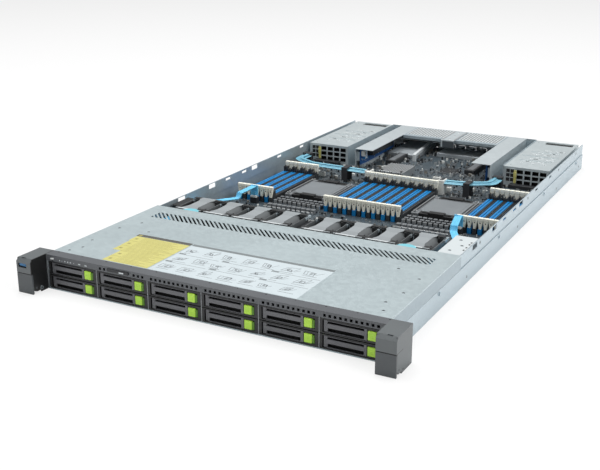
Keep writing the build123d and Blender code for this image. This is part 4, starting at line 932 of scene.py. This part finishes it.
def route(points, bend, steps=7):
    """Points along straight runs in a plane whose corners are rounded to a radius."""
    path = [Vector(points[0])]
    for before, corner, after in zip(points, points[1:], points[2:]):
        corner = Vector(corner)
        back = (Vector(before) - corner).normalized()
        ahead = (Vector(after) - corner).normalized()
        half = back.angle(ahead) / 2
        reach = bend / math.tan(half)
        start, end = corner + back * reach, corner + ahead * reach
        for step in range(steps + 1):
            share = step / steps
            path.append((start.lerp(corner, share)).lerp(corner.lerp(end, share), share))
    return path + [Vector(points[-1])]


def ribbon(bm, points, z, width, bend, material, strands, thick, rise=None):
    """A flat cable along a level route, with one ridge a conductor."""
    path = route(points, bend)
    rows = strands * 4
    grid = bmesh.ops.create_grid(bm, x_segments=len(path) - 1, y_segments=rows, size=0.5)["verts"]
    for vert in grid:
        place = round((vert.co.x + 0.5) * (len(path) - 1))
        share = vert.co.y
        ahead = (path[min(place + 1, len(path) - 1)] - path[max(place - 1, 0)]).normalized()
        across = Vector((ahead.y, -ahead.x))
        spot = path[place] + across * share * width
        ridge = abs(math.sin((share + 0.5) * strands * math.pi)) * 0.5
        lift = rise(place / (len(path) - 1)) if rise else 0.0
        vert.co = (spot.x, spot.y, z + thick / 2 - 0.5 + ridge + lift)
    faces = list({face for vert in grid for face in vert.link_faces})
    bmesh.ops.recalc_face_normals(bm, faces=faces)
    if faces[0].normal.z < 0:
        bmesh.ops.reverse_faces(bm, faces=faces)
    new = bmesh.ops.solidify(bm, geom=faces, thickness=thick)["geom"]
    for face in faces + [item for item in new if isinstance(item, bmesh.types.BMFace)]:
        face.material_index = material


CABLE_Z = 24.0
CABLE_FRONT = 125.4  # where the cables meet the backplane
PLUG_Y = MEM_Y[0] - 14
# of each strand of the trunk its place beside and above the middle, and its radius
TRUNK_STRANDS = ((-3.6, -2.4, 2.6), (3.5, -2.6, 2.6), (-2.6, 2.6, 3.0), (3.2, 2.4, 2.8), (0.2, 5.2, 2.2))
BAND_Y = MEM_Y[1] + 17
BAND_RUN = REAR_ROOM - 59
BAND_LEAN = 36.0
# of each strand of a rear band its place beside the middle, its width and its height
BAND_LAYERS = ((6.2, 6.4, 28.6), (0.4, 6.0, 29.2), (-5.4, 6.4, 28.4), (2.6, 5.0, 31.0))
JACKET, TAB, SLEEVE, PLUG = range(4)
cables = bmesh.new()


def lifted(share):
    """How far a front cable stands above its level, from its plug to a third of its length."""
    return 11 * max(0, 1 - share / 0.3) ** 2


for plug_x, gap_x in ((-166.0, 9.1 - WALL_IN), (156.5, WALL_IN - 33.6)):
    lean = 0.2 * (gap_x - plug_x)
    points = [(plug_x, PLUG_Y), (plug_x + lean, PLUG_Y - 0.315 * FRONT_ROOM),
              (gap_x, PLUG_Y - 0.72 * FRONT_ROOM), (gap_x, CABLE_FRONT)]
    ribbon(cables, points, CABLE_Z, 10.0, 0.2 * FRONT_ROOM, TAB, 3, 1.8, lifted)
    slab(cables, around(plug_x, 6.5), (PLUG_Y + 0.5, PLUG_Y + 2.6), (20, 36.8), 0.7, TAB, 2)
    slab(cables, around(plug_x, 4.2), around(PLUG_Y, 0.6), (22, 27.5), 0.4, TAB)
    slab(cables, around(plug_x, 6), (PLUG_Y - 2, PLUG_Y + 6), (DECK, 18), 0.6, SLEEVE)
    slab(cables, around(plug_x, 5), (PLUG_Y - 2.4, PLUG_Y + 4), (17.8, 21), 0.4, PLUG)
trunk_x = FAN_FIRST[1] - FAN_PITCH / 2 - 8.2
for dx, dz, radius in TRUNK_STRANDS:
    rod(cables, (trunk_x + dx, CABLE_FRONT, CABLE_Z + dz),
        (trunk_x + dx * 0.8, BOARD_FRONT + 5, CABLE_Z + dz), radius, 14, SLEEVE)
for y in range(140, 310, 24):
    rod(cables, (trunk_x, y, CABLE_Z), (trunk_x, y + 5, CABLE_Z), 6.9, 20, SLEEVE)
slab(cables, around(trunk_x, 7.2), (FAN_Y - 4, FAN_Y + FAN_L + 2), (CABLE_Z + 4.6, CABLE_Z + 8.4), 1.2,
     SLEEVE, 2)
slab(cables, around(trunk_x, 8), (BOARD_FRONT + 4, BOARD_FRONT + 14), (DECK, 31), 0.8, SLEEVE)
slab(cables, around(trunk_x, 6), (BOARD_FRONT + 6, BOARD_FRONT + 12), (30.8, 31.6), 0.3, PLUG)
for inner, outer in ((-60.0, -196.0), (74.0, 140.0)):
    turn = 1 if outer > inner else -1
    points = [(inner, BAND_Y), (outer - turn * BAND_LEAN, BAND_Y + 0.08 * BAND_RUN),
              (outer, BAND_Y + 0.46 * BAND_RUN), (outer, BAND_Y + BAND_RUN)]
    for shift, width, level in BAND_LAYERS:
        moved = [(x, y + shift) for x, y in points[:2]] + [(x - turn * shift, y) for x, y in points[2:]]
        ribbon(cables, moved, level, width, 0.36 * BAND_RUN, JACKET, 3, 1.4)
    base = beyond(inner, -turn, 0, 10)
    slab(cables, base, around(BAND_Y, 8), (DECK, 33), 0.7, PLUG)
    slab(cables, (base[0] + 2, base[1] - 2), around(BAND_Y, 6), (32.8, 33.6), 0.3, SLEEVE)
    stop = BAND_Y + BAND_RUN
    slab(cables, around(outer, 8), (stop, stop + 10), (DECK, 33), 0.7, SLEEVE)
    x = inner + turn * BAND_LEAN
    slab(cables, around(x, 5), (BAND_Y - 7.5, BAND_Y + 11), (31.2, 33.2), 0.6, SLEEVE)
    for y in (BAND_Y - 8.6, BAND_Y + 10.2):
        slab(cables, around(x, 5), (y, y + 1.8), (DECK, 33.0), 0.4, SLEEVE)
piece("internal_cable_set", cables, [cable_blue, cable_tab, cable_shade, part_white],
      stands_for=["internal_cables"])

# Risers: folded steel shelves, each with an upright blue card in it and the card's black slot on
# its inner side. The vented slot covers and the bracket between the shelves are of the same steel.
riser_steel = galvanised("riser sheet", srgb(216, 225, 228), srgb(198, 208, 212), 0.36)


def both_sides(finish, low, high):
    """1 where the distance from the middle plane lies in a span."""
    spot = finish.node("ShaderNodeMath", {"operation": "ABSOLUTE"}, {0: finish.along("X")})
    return (spot > low * MM) * (spot < high * MM)


CARD_X, CARD_Y, CARD_Z = (110.0, 113.5), (661.0, 809.0), (13.9, 40.6)
SLOT_X, SLOT_Y, SLOT_Z = (98.0, 110.05), (687.0, 778.0), (25.8, 33.7)
card_zone = both_sides(riser_steel, *CARD_X) * within(riser_steel, "Y", *CARD_Y)
card_zone = card_zone * within(riser_steel, "Z", *CARD_Z)
slot_zone = both_sides(riser_steel, *SLOT_X) * within(riser_steel, "Y", *SLOT_Y)
slot_zone = slot_zone * within(riser_steel, "Z", *SLOT_Z)
tracks = riser_steel.node("ShaderNodeTexBrick", {"offset": 0.4}, {
    "Vector": riser_steel.place(), "Scale": 300.0, "Mortar Size": 0.06, "Row Height": 0.5}, "Fac")
card_tone = riser_steel.mix(tracks * 0.5, srgb(24, 74, 132), srgb(62, 118, 172))
riser_tone = riser_steel.mix(card_zone, riser_steel.tone(), card_tone)
riser_steel.colour(riser_steel.mix(slot_zone, riser_tone, srgb(38, 40, 43)))
riser_steel.metal(0.5 - (card_zone + slot_zone) * 0.45)
clad("riser_cages", riser_steel)

card_blue = moulded("riser card", srgb(84, 154, 212), srgb(54, 122, 184), 0.4)
cards = bmesh.new()
pick = random.Random(23)
for face, out, back in ((-110.3, 0.9, 1.2), (111.9, -0.4, 2.4)):
    for _ in range(70):
        y = pick.uniform(664, 800)
        low = pick.uniform(15, 36)
        wide, high = pick.choice(((1.0, 2.0), (2.4, 1.2), (4.0, 3.0), (1.2, 1.2)))
        finish = pick.choice((CHIP, METAL, METAL, PALE, 0))
        slab(cards, (face - back, face + out), (y, y + wide), (low, low + high), material=finish)
slab(cards, (-110.4, -104.0), (663.5, 668.5), (29.0, 38.0), 0.5, PALE)
slab(cards, (-104.2, -103.9), (665.0, 667.2), (31.0, 36.0), 0, CHIP)
slab(cards, (-110.3, -106.6), (672.0, 682.0), (22.0, 37.0), 0.5, 0)
for row in range(5):
    slab(cards, (-106.7, -106.3), (673.0, 681.0), (23.0 + row * 2.8, 24.6 + row * 2.8), 0, PALE)
piece("riser_card_parts", cards, [card_blue, part_black, part_grey, bright, part_white])

# Rear strip skin: the fine round perforation of the steel strip over the rear openings, its
# toothed front edge, and flat sheets behind the slot covers, painted with a grey mesh pattern,
# that stand in for the shaded inside seen through the vents as painted shade. A bracket is
# screwed down on it.
def vector(finish, operation, sockets, out=0):
    """A Vector Math node."""
    return finish.node("ShaderNodeVectorMath", {"operation": operation}, sockets, out)


def cells(finish, size):
    """The place inside each cell of a cubic grid, from 0 to 1 along each axis."""
    scaled = vector(finish, "SCALE", {0: finish.place(), "Scale": 1 / size})
    return vector(finish, "FRACTION", {0: scaled})


STRIP_Y = (806.0, 866.0)
TEETH = 34
TOOTH_PITCH = 5.1
perforated = galvanised("perforated sheet", srgb(242, 247, 248), srgb(228, 235, 237), 0.38)
cell = vector(perforated, "SUBTRACT", {0: cells(perforated, 0.0052), 1: (0.5, 0.5, 0.5)})
cell = vector(perforated, "MULTIPLY", {0: cell, 1: (1.0, 1.0, 0.0)})
hole = vector(perforated, "LENGTH", {0: cell}, "Value") < 0.36
perforated.colour(perforated.mix(hole, perforated.tone(), srgb(88, 96, 100)))
# Painted shade: a sheet with a grey mesh pattern, standing in for the shaded inside behind the vents.
vent_shade_mesh = Finish("vent shade mesh", roughness=0.5)
weave = cells(vent_shade_mesh, 0.0016)
across, up = (vent_shade_mesh.node("ShaderNodeSeparateXYZ", sockets={0: weave}, out=axis) for axis in (0, 2))
lines = (across < 0.25) + (up < 0.25)
vent_shade_mesh.colour(vent_shade_mesh.mix(vent_shade_mesh.ease(lines, 0.0, 1.0), srgb(104, 108, 111), srgb(150, 154, 157)))
TOOTHED, MESH = 1, 2
skin = bmesh.new()
for x in ((-84.0, -13.0), (13.0, 84.0)):
    slab(skin, x, STRIP_Y, (LID_Z + 0.02, LID_Z + 0.14), 0, 0)
for tooth in range(TEETH):
    x = -84.5 + tooth * TOOTH_PITCH
    if abs(x + 1.5) > 16:
        slab(skin, (x, x + 2.7), (794.4, 801.0), (LID_Z + 0.02, LID_Z + 0.5), 0.15, TOOTHED)
        slab(skin, (x, x + 2.7), (794.4, 795.0), (LID_Z - 4.6, LID_Z + 0.4), 0.15, TOOTHED)
for x in (-68.0, 68.0):
    slab(skin, around(x, 39), (867.6, 868.7), (20.2, 40.8), 0, MESH)
slab(skin, (-117.6, -42.4), (868.2, 868.7), (9.2, 16.6), 0, MESH)
piece("rear_strip_skin", skin, [perforated, tray_steel, vent_shade_mesh])

hold_down = bmesh.new()
for side in (-1, 1):
    slab(hold_down, beyond(0, side, 9.4, 12.4), (787.2, 862.0), (LID_Z + 1.0, LID_Z + 1.5), 0.2)
    rod(hold_down, (side * 5.0, 786.4, 36.0), (side * 5.0, 787.1, 36.0), 2.0, 16, 1)
for y in (800.0, 826.0, 852.0):
    screw(hold_down, 0.0, y, LID_Z + 1.0, 2.4, 0.3)
front_plate = galvanised("shaded plate", srgb(96, 103, 108), srgb(76, 83, 88), 0.45)
slab(hold_down, (-9.0, 12.0), (785.9, 786.3), (LID_Z - 11.6, LID_Z - 0.6), 0.1, 2)
piece("hold_down_details", hold_down, [bright, recess_shade, front_plate])

# Power supplies: zinc-coated cases with an embossed lid, whose ridges are painted pale as painted
# highlight and whose furrows are painted grey as painted shade. The inner end is a grille whose
# openings are painted black as painted shade, with a small yellow tab, and the outer end has a black
# inlet, handle and release tab, and an exhaust whose openings are painted black as painted shade.
def zone(finish, x, y, z):
    """1 inside a block given by its spans."""
    return within(finish, "X", *x) * within(finish, "Y", *y) * within(finish, "Z", *z)


OPENING_SHADE, YELLOW, CREST_HIGHLIGHT, FURROW_SHADE = range(1, 5)
FACE_ROW, FACE_COLUMN = 7.2, 6.8  # pitch of the openings beside the inner grille
EMBOSSED = ((34, 9), (46, 22), (66, 26), (78, 14), (98, 24), (112, 18), (130, 20))  # depth and length
for side, x0 in (("left", PSU_GAP - WALL_IN), ("right", PSU_IN)):
    case = galvanised(f"supply case {side}", srgb(212, 221, 223), srgb(190, 201, 204), 0.38)
    grille = zone(case, (x0 + 20.6, x0 + 72.6), (PSU_FRONT + 0.5, PSU_FRONT + 12.5), (12.0, 39.6))
    inlet = zone(case, (x0 + 5.4, x0 + 32.8), (BODY_D - 16.5, BODY_D - 0.3), (10.4, 30.2))
    exhaust = zone(case, (x0 + 40.4, x0 + 68.2), (BODY_D - 6.5, BODY_D - 0.3), (7.2, 32.8))
    handle = case.along("Y") > depth(BODY_D + 0.3)
    card_edge = case.along("Y") < depth(PSU_FRONT - 0.3)
    # Painted shade: the openings of the inner grille and of the exhaust are painted black inside; the inlet
    # and handle are black plastic.
    black = case.ease(grille + inlet + exhaust + handle, 0.0, 1.0)
    tone = case.mix(black, case.tone(), srgb(24, 25, 27))
    tone = case.mix(handle * within(case, "X", x0 + 69, x0 + 73), tone, srgb(58, 118, 84))
    case.colour(case.mix(card_edge, tone, srgb(62, 104, 74)))
    case.metal(case.ease(black + card_edge, 0.0, 1.0, 0.5, 0.0))
    clad(f"power_supply_{side}", case)
    face = bmesh.new()
    # Painted shade: black squares stand for the shaded openings beside the grille.
    for column in range(2):
        for row in range(3):
            left = x0 + 5.0 + column * FACE_COLUMN
            low = 17.0 + row * FACE_ROW
            slab(face, (left, left + 5.6), around(PSU_FRONT, 0.1), (low, low + 5.8), 0, OPENING_SHADE)
    rim_y = (PSU_FRONT - 0.25, PSU_FRONT + 0.3)
    for row in range(4):
        low = 15.9 + row * FACE_ROW
        slab(face, (x0 + 4.2, x0 + 19.8), rim_y, (low, low + 1.0), 0.1)
    for column in range(3):
        left = x0 + 4.0 + column * FACE_COLUMN
        slab(face, (left, left + 1.0), rim_y, (15.9, 38.6), 0.1)
    slab(face, (x0 + 17.4, x0 + 21.6), (PSU_FRONT - 1.2, PSU_FRONT - 0.1), (15.0, 36.0), 0.4, YELLOW, 2)
    slab(face, (x0 + 17.0, x0 + 22.0), (PSU_FRONT - 1.6, PSU_FRONT - 0.4), (25.0, 33.0), 0.4, YELLOW, 2)
    for place, (along, reach) in enumerate(EMBOSSED):
        y = PSU_FRONT + along
        for part in range(3):
            left = x0 + 16 + (part * 19 + place * 7) % 44
            ridge = (left, left + reach * 0.55)
            slab(face, ridge, (y, y + 1.8), (41.0, 41.4), 0.15, CREST_HIGHLIGHT)
            slab(face, ridge, (y - 1.2, y), (41.0, 41.16), 0, FURROW_SHADE)
    # Painted shade: a black sheet just under the lid near its rear end.
    slab(face, (x0 + 20.4, x0 + 67.0), (BODY_D - 23.6, BODY_D - 8.4), (39.62, 39.7), 0, OPENING_SHADE)
    for y in (PSU_FRONT + 12, PSU_FRONT + 186):
        screw(face, x0 + 8, y, 41.1, 2.0, 0.2)
    # Painted light: the embossed ridges are painted pale as painted highlight, and the furrows beside them
    # grey as painted shade.
    crest_highlight = galvanised(f"supply ridge {side}", srgb(240, 245, 246), srgb(226, 233, 235), 0.3)
    furrow_shade = galvanised(f"supply furrow {side}", srgb(128, 136, 140), srgb(108, 116, 120), 0.45)
    piece(f"supply_face_{side}", face, [case, recess_shade, label_yellow, crest_highlight, furrow_shade],
          body=f"power_supply_{side}")

# Drive cage and backplane: a dark cage whose partitions part the drives, fixed to the tray, and
# the upright board behind them. Little more than the cage's bare front edges is seen.
cage_black = moulded("cage plastic", srgb(66, 68, 71), srgb(44, 46, 49), 0.5)
# Painted highlight: the cage's front edges, the partitions between the bays, are painted light grey.
cage_edge_highlight = cage_black.along("Y") < depth(1.2)
cage_black.colour(cage_black.mix(cage_edge_highlight, cage_black.tone(), srgb(150, 154, 158)))
clad("drive_cage_and_backplane", cage_black)

# Wall fittings: steel rivets and screws along both steps of the side walls, and a row of small
# dark pin marks on the rim of the front frame.
RIVETS = ((36.0, 36.5), (76.0, 37.0), (138.0, 36.0), (206.0, 37.4), (300.0, 37.0), (520.0, 37.0),
          (700.0, 37.0), (820.0, 37.0))  # depth and height
LOW_RIVETS_Y = (60.0, 250.0, 470.0, 690.0, 846.0)
wall_marks = bmesh.new()
for side in (-1, 1):
    for y, height in RIVETS:
        outer = side * (HALF_W - SHEET)
        rod(wall_marks, (outer, y, height), (outer + side * 0.35, y, height), 2.2, 14, 0, 1.7)
        rod(wall_marks, (outer + side * 0.3, y, height), (outer + side * 0.4, y, height), 0.9, 8, 1)
    for y in LOW_RIVETS_Y:
        rod(wall_marks, (side * HALF_W, y, 8.5), (side * (HALF_W + 0.3), y, 8.5), 2.0, 14, 0, 1.6)
for place in range(-6, 7):
    x = place * 35.6 + 4.0
    rod(wall_marks, (x, 12.6, BODY_H), (x, 12.6, BODY_H + 0.06), 0.8 if place % 2 else 1.1, 10, 1)
piece("wall_marks", wall_marks, [screw_steel, recess_shade])
